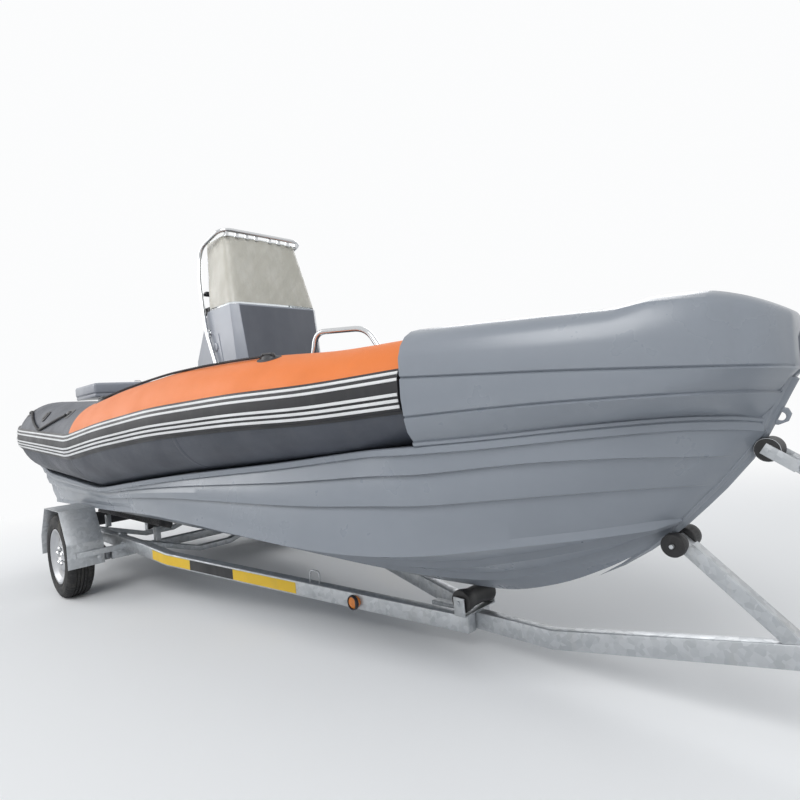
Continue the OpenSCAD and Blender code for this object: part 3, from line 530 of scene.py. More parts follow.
# x, outer half breadth, height of the centre, diameter
tubeRows = np.array([
    (-1.350, 0.870, 1.190, 0.168), (-1.310, 0.930, 1.185, 0.280), (-0.750, 1.040, 1.140, 0.560),
    (0.560, 1.040, 1.065, 0.560), (0.660, 1.038, 1.068, 0.560), (1.100, 1.012, 1.115, 0.557),
    (1.700, 0.948, 1.162, 0.538), (2.300, 0.835, 1.182, 0.493), (2.750, 0.740, 1.182, 0.424),
    (3.149, 0.625, 1.202, 0.400)])
tubeLook = {"seamX": 0.61, "panelSkin": 0.0022, "panelTop": 97, "strakeHalf": 0.082,
            "strakeThick": 0.016, "around": 64}


def eased(x, column):
    reach = min(0.16, max(0.0, abs(x - tubeLook["seamX"]) - 0.02), x + 1.35, 3.149 - x)
    reach = max(reach, 0.0)
    total = np.interp([x + reach * t for t in (-1, -0.6, -0.2, 0.2, 0.6, 1)], tubeRows[:, 0],
                      tubeRows[:, column])
    return float(np.average(total, weights=(1, 2, 3, 3, 2, 1)))


def tubeAt(x):
    radius = eased(x, 3) / 2
    return eased(x, 1) - radius, eased(x, 2), radius


def onTube(x, degrees, off, side=1):
    y, z, r = tubeAt(x)
    a = math.radians(degrees)
    return np.array([x, side * (y + (r + off) * math.cos(a)), z + (r + off) * math.sin(a)])


def patchOnTube(xs, low, high, off, thick, steps, side):
    outer, inner = [], []
    for x in xs:
        a0 = low(x) if callable(low) else low
        a1 = high(x) if callable(high) else high
        turn = np.linspace(a0, a1, steps)
        outer.append([onTube(x, a, off + thick, side) for a in turn])
        inner.append([onTube(x, a, off - 0.001, side) for a in turn[::-1]])
    return skinOf([o + i for o, i in zip(outer, inner)])


def strakeEdge(x):
    return math.degrees(tubeLook["strakeHalf"] / tubeAt(x)[2])


def makeTube(side, word):
    xs = np.concatenate([[-1.350, -1.338, -1.31], np.linspace(-1.26, 0.50, 44), np.linspace(0.53, 0.70, 12),
                         np.linspace(0.76, 3.149, 60)])
    rings = []
    for x in xs:
        y, z, r = tubeAt(x)
        if x < -1.3:
            r *= {-1.350: 0.80, -1.338: 0.95}.get(round(float(x), 3), 1.0)
        turn = np.arange(tubeLook["around"]) * 2 * math.pi / tubeLook["around"]
        pucker = 0.0016 * math.exp(-((x - tubeLook["seamX"]) / 0.06) ** 2) * np.cos(turn * 15)
        rings.append(np.stack([np.full_like(turn, x), side * (y + (r + pucker) * np.cos(turn)),
                               z + (r + pucker) * np.sin(turn)], 1))
    piece = faceOutward(roundsOf("tubeSkin_" + word, *skinOf(rings), 50))
    settle(piece, tubeCloth, stands=["tube_" + word])

    # overlapped welds round the tube
    parts = []
    for x, width in ((tubeLook["seamX"] - 0.014, 0.034), (-0.74, 0.03), (1.86, 0.03), (3.118, 0.03)):
        ring = [[onTube(x + width * t, a, 0.0014 if 0 < t < 1 else 0.0002, side) for a in np.arange(0, 360,
                                                                                                    7.5)]
                for t in (0, 0.12, 0.88, 1)]
        parts.append(skinOf(ring, caps=False))
    seam = faceOutward(roundsOf("tubeSeams_" + word, *joinParts(parts), 50))
    settle(seam, tubeCloth)

    xs = np.concatenate([np.linspace(tubeLook["seamX"], 0.80, 14), np.linspace(0.84, 3.147, 60)])
    panel = patchOnTube(xs, lambda x: strakeEdge(x) - 1.5, tubeLook["panelTop"], 0, tubeLook["panelSkin"],
                        26, side)
    settle(faceOutward(roundsOf("tubePanel_" + word, *panel, 50)), orangeCloth)


def makeStrake(side, word):
    xs = np.concatenate([np.linspace(-1.285, 0.50, 40), np.linspace(0.53, 0.70, 12),
                         np.linspace(0.76, 3.147, 56)])
    thick = tubeLook["strakeThick"]
    shape = [(-1, 0.0), (-1, 0.25), (-0.94, 0.42), (-0.86, 0.46), (-0.80, 0.80), (-0.74, 0.92), (-0.5, 1.0),
             (0.5, 1.0),
             (0.74, 0.92), (0.80, 0.80), (0.86, 0.46), (0.94, 0.42), (1, 0.25), (1, 0.0)]
    rings = []
    for x in xs:
        a = strakeEdge(x)
        rings.append([onTube(x, a * u, -0.001 + (thick + 0.001) * h, side) for u, h in shape]
                     + [onTube(x, a * u, -0.001, side) for u in (0.6, 0.2, -0.2, -0.6)])
    band = faceOutward(roundsOf("strakeBand_" + word, *skinOf(rings), 28))
    settle(band, strakeRubber, stands=["strake_" + word])
    parts = []
    for place in (0.062, 0.039, -0.011, -0.031, -0.051):  # raised lines, metres up from the middle
        lines = []
        for x in xs:
            toAngle = math.degrees(1 / tubeAt(x)[2])
            lines.append([onTube(x, (place + w) * toAngle,
                                 thick + h - (0.0014 if abs(place) > 0.056 else 0.0002), side)
                          for w, h in ((-0.0056, 0), (-0.0042, 0.0028), (0.0042, 0.0028), (0.0056, 0),
                                       (0, -0.001))])
        parts.append(skinOf(lines))
    settle(faceOutward(roundsOf("strakeLines_" + word, *joinParts(parts), 40)), strakeWhite)


def makeFittings(side, word):
    ropeXs = (0.765, 1.0, 1.3, 1.6, 1.9, 2.15, 2.335)
    route = evenPath(roundPath([onTube(x, 70, 0.0125, side) for x in ropeXs], 0.1), 0.0065)
    turn = np.arange(15) * 2 * math.pi / 15
    strand = np.stack([np.cos(turn), np.sin(turn)], 1) * (0.0060 + 0.0010 * np.cos(3 * turn))[:, None]
    rope = faceOutward(roundsOf("ropeLaid_" + word, *sweep(route, strand, twist=105), 70))
    settle(rope, ropeCloth, stands=["lifeline_" + word])

    parts = []
    for x in (0.72, 2.38):
        rings = []
        for grow, lift in ((1.0, 0.0), (1.0, 0.003), (0.93, 0.005), (0.62, 0.007), (0.52, 0.014),
                           (0.34, 0.019), (0.1, 0.021)):
            rings.append([onTube(x + 0.066 * grow * math.cos(t),
                                 70 + math.degrees(0.043 * grow * math.sin(t) / tubeAt(x)[2]),
                                 lift - 0.0005, side) for t in np.arange(36) * math.pi / 18])
        parts.append(skinOf(rings))
        loop = [onTube(x + dx, 70, off, side) for dx, off in ((-0.034, 0.004), (-0.036, 0.022),
                                                              (0.036, 0.022), (0.034, 0.004))]
        parts.append(sweep(evenPath(roundPath(loop, 0.02), 0.005), circle(0.0065, 12)))
    # air valve behind the seam
    rings = []
    for r, lift in ((0.045, 0.0), (0.045, 0.006), (0.041, 0.009), (0.028, 0.0095), (0.026, 0.013),
                    (0.012, 0.0135), (0.002, 0.0125)):
        rings.append([onTube(-0.15 + r * math.cos(t), 40 + math.degrees(r * math.sin(t) / 0.28),
                             lift - 0.001, side)
                      for t in np.arange(40) * math.pi / 20])
    parts.append(skinOf(rings))
    # rope handle between two patches
    for x in (-0.72, 0.36):
        patch = []
        for grow, lift in ((1, 0.0), (1, 0.0026), (0.94, 0.0036), (0.4, 0.0040), (0.34, 0.012), (0.2, 0.016),
                           (0.02, 0.017)):
            patch.append([onTube(x + 0.055 * grow * math.copysign(abs(math.cos(t)) ** 0.6, math.cos(t)),
                                 47 + 8.5 * grow * math.copysign(abs(math.sin(t)) ** 0.6, math.sin(t)),
                                 lift - 0.0005, side)
                          for t in np.arange(32) * math.pi / 16])
        parts.append(skinOf(patch))
    hang = [onTube(x, 47 - 29 * (1 - abs((x + 0.12) / 0.52) ** 1.25 if abs(x + 0.12) < 0.52 else 0), 0.010,
                   side)
            for x in np.linspace(-0.70, 0.34, 40)]
    turn = np.arange(12) * 2 * math.pi / 12
    cord = np.stack([np.cos(turn), np.sin(turn)], 1) * (0.0080 + 0.0012 * np.cos(3 * turn))[:, None]
    parts.append(sweep(evenPath(hang, 0.010), cord, twist=80))
    fittings = faceOutward(roundsOf("tubeFittings_" + word, *joinParts(parts), 38))
    settle(fittings, blackPlastic, stands=["tube_fittings_" + word])

    label = patchOnTube(np.linspace(-1.12, -0.86, 10), 43, 60, 0, 0.0024, 8, side)
    settle(faceOutward(roundsOf("blankLabel_" + word, *label, 40)), plateWhite)

    # grab rail
    feet = [onTube(x, 108, 0.0056, side) for x in (2.48, 2.86)]
    route = roundPath([feet[0], feet[0] + (0.030, 0, 0.104), feet[1] + (-0.075, 0, 0.100), feet[1]], 0.07, 10)
    parts = [sweep(evenPath(route, 0.012), circle(0.0125, 24))]
    tilt = (0, side * -math.sin(math.radians(18)), math.cos(math.radians(18)))
    for foot in feet:
        flange = turned([(0.033, -0.003), (0.033, 0.001), (0.030, 0.003), (0.017, 0.0036), (0.014, 0.010),
                         (0.0127, 0.011)], 32)
        parts.append(placed(flange, foot, tilt))
        for a in (0.6, 2.7, 4.8):
            spot = foot + turnTo(tilt) @ np.array([0.0245 * math.cos(a), 0.0245 * math.sin(a), 0.0028])
            parts.append(placed(turned([(0.0042, 0), (0.0038, 0.0012), (0.002, 0.0018)], 16), spot, tilt))
    rail = faceOutward(roundsOf("grabRail_" + word, *joinParts(parts), 40))
    settle(rail, stainless, stands=["grab_rail_" + word])


for side, word in ((-1, "starboard"), (1, "port")):
    makeTube(side, word)
    makeStrake(side, word)
    makeFittings(side, word)
print("tubes, strakes and ropes made")


# hull and hard bow

hullLook = {"sole": 0.765, "lap": 0.0125, "stemHalf": 0.036, "tip": 4.105, "shellAft": 3.15, "shellNose": 4.20}
# bottom: x, keel height, chine half breadth, chine height
bottomRows = np.array([
    (-0.95, 0.310, 0.760, 0.600), (-0.75, 0.309, 0.768, 0.606), (0.56, 0.301, 0.800, 0.645),
                       (0.66, 0.300, 0.800, 0.650),
    (1.10, 0.299, 0.800, 0.668), (1.70, 0.297, 0.775, 0.660), (2.30, 0.296, 0.710, 0.618),
                       (2.75, 0.297, 0.630, 0.595),
    (3.15, 0.322, 0.530, 0.608)])
# long lines of the bow, each running out on the stem: x, half breadth, height
bowLines = {
    "keel": [(3.15, 0.0, 0.322), (3.40, 0.0, 0.400), (3.65, 0.0, 0.525), (3.83, 0.0, 0.660)],
    "chine": [(3.15, 0.530, 0.622), (3.40, 0.405, 0.653), (3.65, 0.250, 0.678), (3.75, 0.170, 0.691),
              (3.845, 0.036, 0.693)],
    "plankLow": [(3.15, 0.561, 0.784), (3.50, 0.420, 0.812), (3.70, 0.300, 0.822), (3.90, 0.120, 0.821),
                 (3.965, 0.036, 0.814)],
    "plankHigh": [(3.15, 0.580, 0.899), (3.50, 0.460, 0.930), (3.75, 0.340, 0.935), (3.95, 0.185, 0.922),
                  (4.045, 0.036, 0.908)],
    "foot": [(3.15, 0.600, 1.000), (3.40, 0.520, 1.010), (3.65, 0.410, 1.026), (3.90, 0.250, 1.034),
             (4.02, 0.150, 1.030),
             (4.105, 0.036, 1.008)],
    "creaseLow": [(3.15, 0.638, 1.107), (3.40, 0.568, 1.116), (3.65, 0.480, 1.122), (3.85, 0.400, 1.121),
                  (4.00, 0.300, 1.118),
                  (4.10, 0.175, 1.114), (4.155, 0.042, 1.103)],
    "creaseHigh": [(3.15, 0.644, 1.247), (3.40, 0.575, 1.232), (3.65, 0.490, 1.218), (3.85, 0.405, 1.203),
                   (4.00, 0.325, 1.191),
                   (4.09, 0.262, 1.184), (4.14, 0.215, 1.180), (4.175, 0.160, 1.176), (4.20, 0.095, 1.172)]}


def glide(rows, x, column, reach=0.10):
    rows = np.asarray(rows)
    reach = max(0.0, min(reach, x - rows[0, 0], rows[-1, 0] - x))
    near = np.interp([x + reach * t for t in (-1, -0.5, 0, 0.5, 1)], rows[:, 0], rows[:, column])
    return float(np.average(near, weights=(1, 2, 2, 2, 1)))


# carries the bow's long lines aft to the stern, where the tubes rest on the hull
def settleLines():
    lines = {name: [] for name in ("keel", "chine", "plankLow", "plankHigh", "foot")}
    for x in (-0.95, -0.6, -0.2, 0.2, 0.5, 0.61, 0.72, 0.9, 1.2, 1.6, 2.0, 2.4, 2.65, 2.9):
        keel, chineY, chineZ = (float(np.interp(x, bottomRows[:, 0], bottomRows[:, c])) for c in (1, 2, 3))
        y, z, r = tubeAt(x)
        share = max(0.0, (x - 2.4) / 0.75) ** 2
        topY, topZ = y + r * 0.42, z - r - 0.0006
        topY, topZ = topY + (0.600 - topY) * share, topZ + (1.0 - topZ) * share
        lines["keel"].append((x, 0.0, keel))
        lines["chine"].append((x, chineY, chineZ))
        lines["foot"].append((x, topY, topZ))
        for name, part in (("plankLow", 0.444), ("plankHigh", 0.742)):
            lines[name].append((x, chineY + (topY - chineY) * part, chineZ + (topZ - chineZ) * part))
    return {name: np.array(rows + bowLines[name]) for name, rows in lines.items()}


hullLines = settleLines()


# a line's point at a station; stations past the start are squeezed so that every line ends on the stem
def alongLine(rows, station, start, nominalTip):
    rows = np.asarray(rows)
    x = station
    if station > start:
        x = start + (station - start) * (rows[-1][0] - start) / (nominalTip - start)
    return np.array([x, glide(rows, x, 1), glide(rows, x, 2)])


def hullSection(station):
    keel, chine, low, high, top = (alongLine(hullLines[n], station, 3.0, hullLook["tip"])
                                   for n in ("keel", "chine", "plankLow", "plankHigh", "foot"))
    lap = hullLook["lap"] * min(1.0, chine[1] / 0.12)
    half = [keel, keel + (0, min(0.020, chine[1] * 0.3), 0.001)]
    for share in (0.36, 0.67):  # spray strakes
        at = keel + (chine - keel) * share
        half += [at + (0, -lap * 2.2, -lap * 0.2), at + (0, lap * 0.3, -lap * 1.3),
                 at + (0, lap * 0.5, lap * 0.9)]
    half += [chine + (0, -lap * 3.5, -lap * 1.6), chine + (0, lap * 0.5, -lap * 1.9),
             chine + (0, lap * 0.4, lap * 0.5)]
    for before, line in ((chine, low), (low, high)):
        half += [(before + line) / 2 + (0, lap * 0.25, 0), line + (0, -lap * 0.9, -0.0035),
                 line + (0, lap * 0.3, 0)]
    half += [top + (0, -lap * 0.8, -0.030), top + (0, lap * 0.2, -0.026), top + (0, lap * 0.2, -0.004),
             top + (0, -0.003, 0)]
    x = top[0]
    if station < 2.4:
        y, z, r = tubeAt(x)
        ledge, inner = z - r - 0.0006, min(hullLook["sole"], z - r - 0.0006)
        half += [(x, y, ledge), (x, max(y - r * 0.45, 0.05), inner), (x, 0.0, inner)]
    else:
        half += [(x, top[1] * 0.66, top[2]), (x, top[1] * 0.33, top[2]), (x, 0.0, top[2])]
    port = [tuple(p) for p in half]
    return port + [(a, -b, z) for a, b, z in port[-2:0:-1]]


def makeHull():
    xs = np.concatenate([np.linspace(-0.95, 0.50, 20), np.linspace(0.56, 0.70, 6), np.linspace(0.80, 3.0, 36),
                         np.linspace(3.04, hullLook["tip"], 44)])
    hull = faceOutward(roundsOf("hullPlanked", *skinOf([hullSection(x) for x in xs]), 22))
    settle(hull, hullPaint, stands=["hull"])

    # band up the stem, over the ends of the planks
    stem = np.array([(3.52, 0.443), (3.62, 0.500), (3.72, 0.572), (3.80, 0.640), (3.845, 0.686),
                     (3.905, 0.752), (3.965, 0.814),
                     (4.005, 0.861), (4.045, 0.908), (4.078, 0.958), (4.105, 1.008), (4.130, 1.055),
                     (4.155, 1.103), (4.178, 1.145)])
    ways = np.gradient(stem, axis=0)
    ways /= np.linalg.norm(ways, axis=1)[:, None]
    rings = []
    for i, ((x, z), (dx, dz)) in enumerate(zip(stem, ways)):
        out = np.array([dz, 0, -dx])
        share = min(1.0, i / 5)
        half = hullLook["stemHalf"] * (0.25 + 0.80 * share)
        base = np.array([x, 0, z])
        rings.append([base + (0, y * half, 0) + out * h * share
                      for y, h in ((-1, -0.030), (-1.04, 0.002), (-0.80, 0.008), (-0.62, 0.010),
                                   (-0.40, 0.019), (0, 0.024),
                                   (0.40, 0.019), (0.62, 0.010), (0.80, 0.008), (1.04, 0.002), (1, -0.030))])
    band = faceOutward(roundsOf("stemBand", *skinOf(rings), 30))
    settle(band, hullPaint)


def bowSection(station):
    nose = hullLook["shellNose"]
    foot, low, high = (alongLine(bowLines[n], station, hullLook["shellAft"], nose) for n in ("foot",
                                                                                             "creaseLow",
                                                                                             "creaseHigh"))
    x, y = high[0], high[1]
    top = 1.425 - 0.05 * (x - 3.15) / 1.05
    swell = float(np.interp(x, (3.80, 3.90, 4.04, 4.2), (0, 0.026, 0.026, 0.0)))
    drop = 0.045 * max(0.0, (x - 4.04) / 0.16) ** 2
    groove = 0.0075
    half = [(foot[0], 0.0, foot[2]), foot + (0, -foot[1] * 0.4, 0), foot + (0, -0.004, 0),
            foot + (0, 0.003, 0.004),
            foot + (0, 0.004, 0.013), foot + (0, -0.003, 0.017), foot + (0, 0.002, 0.022)]
    half += [(foot + low) / 2 + (0, 0.007, 0), low + (0, 0.001, -0.007), low + (0, -groove, 0),
             low + (0, 0.001, 0.006)]
    half += [(low + high) / 2 + (0, 0.006, 0), high + (0, 0.001, -0.006), high + (0, -groove, 0),
             high + (0, 0.001, 0.006)]
    for across, down in ((1.0, 0.110), (0.975, 0.066), (0.935, 0.034), (0.88, 0.013), (0.81, 0.003)):
        half.append((x, y * across, top - down - drop + swell * (1 - down / 0.11) * 0.8))
    deck = top + swell - drop
    half += [(x, y * 0.70, deck + 0.002), (x, y * 0.45, deck + 0.005), (x, y * 0.2, deck + 0.006),
             (x, 0.0, deck + 0.006)]
    port = [tuple(p) for p in half]
    return port + [(a, -b, z) for a, b, z in port[-2:0:-1]]


def shrunk(ring, share, dx):
    ring = np.array(ring, float)
    middle = np.array([ring[:, 0].mean(), 0, 1.21])
    ring = middle + (ring - middle) * (1, share, share)
    ring[:, 0] += dx
    return ring


def makeBow():
    lid = {"x0": 3.290, "x1": 3.710, "half": 0.260, "floor": 1.163}
    xs = np.concatenate([np.linspace(3.175, 4.0, 44), np.linspace(4.01, 4.2, 24)])
    first = bowSection(3.152)
    rings = [shrunk(first, 0.90, -0.002), shrunk(first, 0.955, -0.001), shrunk(first, 0.983, 0.004),
             shrunk(first, 0.996, 0.012)]
    rings += [bowSection(x) for x in xs]
    tip = np.array(bowSection(4.2))
    middle = tip.mean(0)
    rings += [middle + (tip - middle) * (1, share, 1 - (1 - share) * 0.5) + (run, 0, 0)
              for share, run in ((0.92, 0.004), (0.75, 0.007), (0.4, 0.009))]
    shell = faceOutward(roundsOf("bowShell", *skinOf(rings), 26))
    cutter = faceOutward(roundsOf("lidCutter", *softBox((lid["x0"], -lid["half"], 1.3827),
                                                        (lid["x1"], lid["half"], 1.6), 0.002)))
    well = faceOutward(roundsOf("wellCutter", *softBox((lid["x0"] + 0.025, -lid["half"] + 0.025, lid["floor"]),
                                                       (lid["x1"] - 0.025, lid["half"] - 0.025, 1.5), 0.010)))
    for tool in (cutter, well):
        cut = shell.modifiers.new("cut", "BOOLEAN")
        cut.operation, cut.solver, cut.object = "DIFFERENCE", "EXACT", tool
    applyModifiers(shell)
    for tool in (cutter, well):
        bpy.data.objects.remove(tool)
    shell.data.set_sharp_from_angle(angle=math.radians(26))
    settle(shell, hullPaint, stands=["bow_shell"])

    parts = [softBox((3.296, -0.254, 1.3836), (3.704, 0.254, 1.4125), 0.009, 4)]
    parts.append(softBox((3.340, -0.205, 1.4115), (3.660, 0.205, 1.4150), 0.0017, 2))
    cover = faceOutward(roundsOf("bowLidPanel", *joinParts(parts), 40))
    settle(cover, lidPaint, "bow_locker_lid", stands=["bow_locker_lid"])
    bar = sweep(evenPath(roundPath([(3.338, -0.045, 1.412), (3.338, -0.045, 1.4265), (3.338, 0.045, 1.4265),
                                    (3.338, 0.045, 1.412)], 0.012), 0.004), circle(0.005, 14))
    hinges = []
    for y in (-0.16, 0.16):
        hinges.append(placed(turned([(0.005, -0.035), (0.005, 0.035)], 16), (3.7045, y, 1.4135), (0, 1, 0)))
        hinges.append(softBox((3.665, y - 0.03, 1.4115), (3.704, y + 0.03, 1.4150), 0.001))
    latch = faceOutward(roundsOf("bowLidMetal", *joinParts([bar] + hinges), 40))
    settle(latch, stainless, "bow_locker_lid")


def applyModifiers(piece):
    ready = bpy.context.evaluated_depsgraph_get()
    mesh = bpy.data.meshes.new_from_object(piece.evaluated_get(ready))
    piece.modifiers.clear()
    piece.data = mesh
    mesh.polygons.foreach_set("use_smooth", [True] * len(mesh.polygons))


makeHull()
makeBow()
for node, finish, edge in (("bow_eye", hullPaint, 0.002), ("transom", hullPaint, 0.006),
                           ("cockpit_floor", deckGrip, 0.002),
                           ("stern_locker", hullPaint, 0.004)):
    settle(softened(node, edge), finish, stands=[node])
print("hull and bow made")


# console, screen and lockers

consoleLook = {"x": 1.480, "width": 0.640, "foot": 0.7796, "top": 1.8596, "screen": 0.470, "lean": 0.125}


def consoleFrontX(z):
    return float(np.interp(z, (0.7796, 1.5596, 1.8596), (1.630, 1.520, 1.480)))


def makeConsole():
    c = consoleLook
    settle(softened("console", 0.010, 3, 20), consolePaint, stands=["console"])
    half = c["width"] / 2
    skin = []
    for z in np.linspace(c["foot"] + 0.01, c["top"] - 0.010, 24):  # painted shade: darker sheet over the front face, which faces away from the light
        x = consoleFrontX(z) + 0.0015
        edge = half - float(np.interp(z, (0.7796, 1.5596, 1.8596), (0.063, 0.053, 0.043)))
        skin.append([(x, -edge, z), (x + 0.0015, -edge + 0.004, z), (x + 0.0015, edge - 0.004, z),
                     (x, edge, z), (x - 0.006, edge, z), (x - 0.006, -edge, z)])
    front = faceOutward(roundsOf("consoleFrontShadeSheet", *skinOf(skin), 35))
    settle(front, consolePaintedShade)

    # door in the front with its frame, and the raised fold along each side
    parts = []
    for z0, z1, w in ((0.90, 1.42, 0.17),):
        lean = (consoleFrontX(z1) - consoleFrontX(z0)) / (z1 - z0)
        for grow, off, thick in ((0.022, 0.0035, 0.004), (0.0, 0.0070, 0.006)):
            ring = []
            for d in (0.0, thick * 0.7, thick):
                pull = 0.003 if d == thick else 0.0
                corner = []
                for a in np.arange(32) * math.pi / 16:
                    ca, sa = math.cos(a), math.sin(a)
                    y = math.copysign(abs(ca) ** 0.35, ca) * (w + grow - pull)
                    z = (z0 + z1) / 2 + math.copysign(abs(sa) ** 0.35, sa) * ((z1 - z0) / 2 + grow - pull)
                    corner.append((consoleFrontX(z0) + lean * (z - z0) + off - 0.004 + d, y, z))
                ring.append(corner)
            parts.append(skinOf(ring))
    door = faceOutward(roundsOf("consoleDoor", *joinParts(parts), 35))
    # the door and its frame take the painted-shade colour of the front face
    settle(door, consolePaintedShade)

    parts = []
    for side in (-1, 1):
        path = [(1.275, side * (half + 0.0005), 1.70), (1.34, side * (half + 0.0005), 1.40),
                (1.05, side * (half + 0.0005), 0.88)]
        path = evenPath(roundPath(path, 0.05), 0.02)
        parts.append(sweep(path, circle(0.0035, 10)))
        for x, z in ((1.11, 1.62), (1.02, 1.20)):
            parts.append(placed(turned([(0.028, 0), (0.028, 0.004), (0.025, 0.006), (0.02, 0.0065)], 28),
                                (x + 0.12, side * half, z), (0, side, 0)))
    folds = faceOutward(roundsOf("consoleFolds", *joinParts(parts), 35))
    settle(folds, consolePaint)

    # instruments on the sloped face above the helm
    back = lambda z: float(np.interp(z, (0.7796, 1.5596, 1.8596), (0.840, 0.960, 1.150)))
    parts, glassParts = [], []
    slope = Vector((-(1.8596 - 1.5596), 0, back(1.8596) - back(1.5596))).normalized()
    for y, z, r in ((-0.18, 1.79, 0.045), (-0.06, 1.79, 0.045), (0.06, 1.79, 0.045), (0.20, 1.70, 0.028),
                    (0.20, 1.79, 0.028)):
        at = (back(z), y, z)
        parts.append(placed(turned([(r, -0.002), (r, 0.006), (r * 0.9, 0.009), (r * 0.84, 0.006),
                                    (r * 0.2, 0.006)], 32), at, slope))
        glassParts.append(placed(turned([(r * 0.82, 0.0062), (r * 0.6, 0.0075), (r * 0.05, 0.0078)], 32), at,
                                 slope))
    z = 1.635
    for k in range(5):
        parts.append(placed(softBox((-0.010, -0.008, -0.001), (0.010, 0.008, 0.008), 0.002),
                            (back(z), -0.25 + 0.03 * k, z), slope))
    # throttle box and lever on the starboard side of the helm
    parts.append(softBox((1.02, -0.29, 1.8575), (1.12, -0.22, 1.905), 0.010, 3))
    parts.append(sweep(evenPath(roundPath([(1.07, -0.300, 1.88), (1.055, -0.302, 1.99),
                                           (1.04, -0.262, 2.005)], 0.02), 0.008), circle(0.008, 14)))
    parts.append(softBox((1.022, -0.275, 1.99), (1.060, -0.225, 2.02), 0.008, 3))
    dash = faceOutward(roundsOf("dashFittings", *joinParts(parts), 35))
    settle(dash, blackPlastic)
    dials = faceOutward(roundsOf("dialFaces", *joinParts(glassParts), 35))
    settle(dials, plateWhite)


# half of the wrap-round outline at a height, from the middle of the front to the rear edge
def screenPlan(z, off):
    c = consoleLook
    t = (z - c["top"]) / c["screen"]
    front = c["x"] - 0.004 - c["lean"] * t + off
    half = c["width"] / 2 - 0.004 - 0.05 * t + off
    rear = c["x"] - 0.300 - 0.070 * t
    bend = 0.075 + 0.03 * t
    path = roundPath([(front, 0, z), (front - 0.004, half * 0.6, z), (front - 0.012, half, z),
                      (rear, half + 0.002, z)], bend, 9)
    return path


def makeScreen3d():
    c = consoleLook
    low, high = c["top"] + 0.0008, c["top"] + c["screen"] - 0.004
    for name, finish, slot, outer, inner, z0, z1, trim, steps in (
            ("screenSheet", clearScreen, "filmed_screen", 0.0, -0.005, low, high, 0.0, 18),
            ("screenFilmWrap", screenFilm, "filmed_screen", 0.0024, 0.0008, low + 0.012, high - 0.008, 0.012,
             40)):
        rings = []
        for i, z in enumerate(np.linspace(z0, z1, steps)):
            outline = []
            for off in (outer, inner):
                half = screenPlan(z, off)
                half[-1][0] += trim
                path = np.concatenate([half[::-1] * (1, -1, 1), half[1:]])
                path = evenPath(path, 0.011)
                count = 100
                run = np.linspace(0, len(path) - 1, count)
                path = np.stack([np.interp(run, np.arange(len(path)), path[:, k]) for k in range(3)], 1)
                if trim:  # loose film: low waves
                    wave = 0.0010 * np.sin(run * 0.31 + i * 0.22) + 0.0008 * np.sin(run * 0.83 - i * 0.55 + 1.7)
                    out = path - (1.20, 0, z)
                    out /= np.linalg.norm(out, axis=1)[:, None]
                    path = path + out * (0.0018 + wave)[:, None]
                outline.append(path if off == outer else path[::-1])
            rings.append(np.concatenate(outline))
        piece = faceOutward(roundsOf(name, *skinOf(rings), 50))
        settle(piece, finish, stands=["windscreen"] if name == "screenSheet" else ())

    w, top, x, gap = c["width"] / 2 + 0.021, c["top"] + c["screen"], c["x"], 0.0185
    sidePath = [(x - 0.215, -w, c["top"] - 0.380), (x - 0.330, -w, c["top"] - 0.120),
                (x - 0.385, -w + 0.008, c["top"] + 0.240),
                (x - 0.385, -w + 0.030, top - 0.040), (x - c["lean"] + gap - 0.004, -w + 0.040, top + gap)]
    path = np.array(sidePath + [(a, -b, z) for a, b, z in sidePath[::-1]])
    parts = [sweep(evenPath(roundPath(path, 0.08, 9), 0.014), circle(0.0125, 24))]
    for side in (-1, 1):
        for px, pz in ((x - 0.225, c["top"] - 0.358), (x - 0.321, c["top"] - 0.140)):
            stand = turned([(0.024, 0), (0.024, 0.003), (0.015, 0.004), (0.013, 0.020)], 28)
            parts.append(placed(stand, (px, side * (c["width"] / 2 + 0.0003), pz), (0, side, 0)))
        for k in range(4):  # clips that hold the screen to the rail
            y = side * (0.05 + 0.07 * k)
            parts.append(softBox((x - c["lean"] - 0.012, y - 0.011, top - 0.022),
                                 (x - c["lean"] + 0.014, y + 0.011, top + 0.010), 0.003))
    rail = faceOutward(roundsOf("screenRail", *joinParts(parts), 40))
    settle(rail, stainless, stands=["windscreen_rail"])


def makeHelm():
    wheel = softened("steering_wheel", 0.002, 2, 50)
    settle(wheel, blackPlastic, "steering_wheel", stands=["steering_wheel"])
    lean = math.radians(70)
    axis = Vector((-math.sin(lean), 0, math.cos(lean)))
    centre = Vector((0.950, 0, 1.6496))
    parts = [placed(turned([(0.030, 0.0), (0.030, 0.006), (0.024, 0.012), (0.004, 0.0135)], 32),
                    centre + axis * 0.0115, axis)]
    turnRound = turnTo(axis)
    for k in range(36):  # stitched grip on the rim
        a = k * math.pi / 18
        way = turnRound @ np.array([-math.sin(a), math.cos(a), 0])
        parts.append(placed(turned([(0.0142, -0.0022), (0.0149, 0), (0.0142, 0.0022)], 18),
                            np.array(centre) + turnRound @ np.array([0.156 * math.cos(a),
                                                                     0.156 * math.sin(a), 0]), way))
    grip = faceOutward(roundsOf("helmGrip", *joinParts(parts), 40))
    settle(grip, blackPlastic, "steering_wheel")


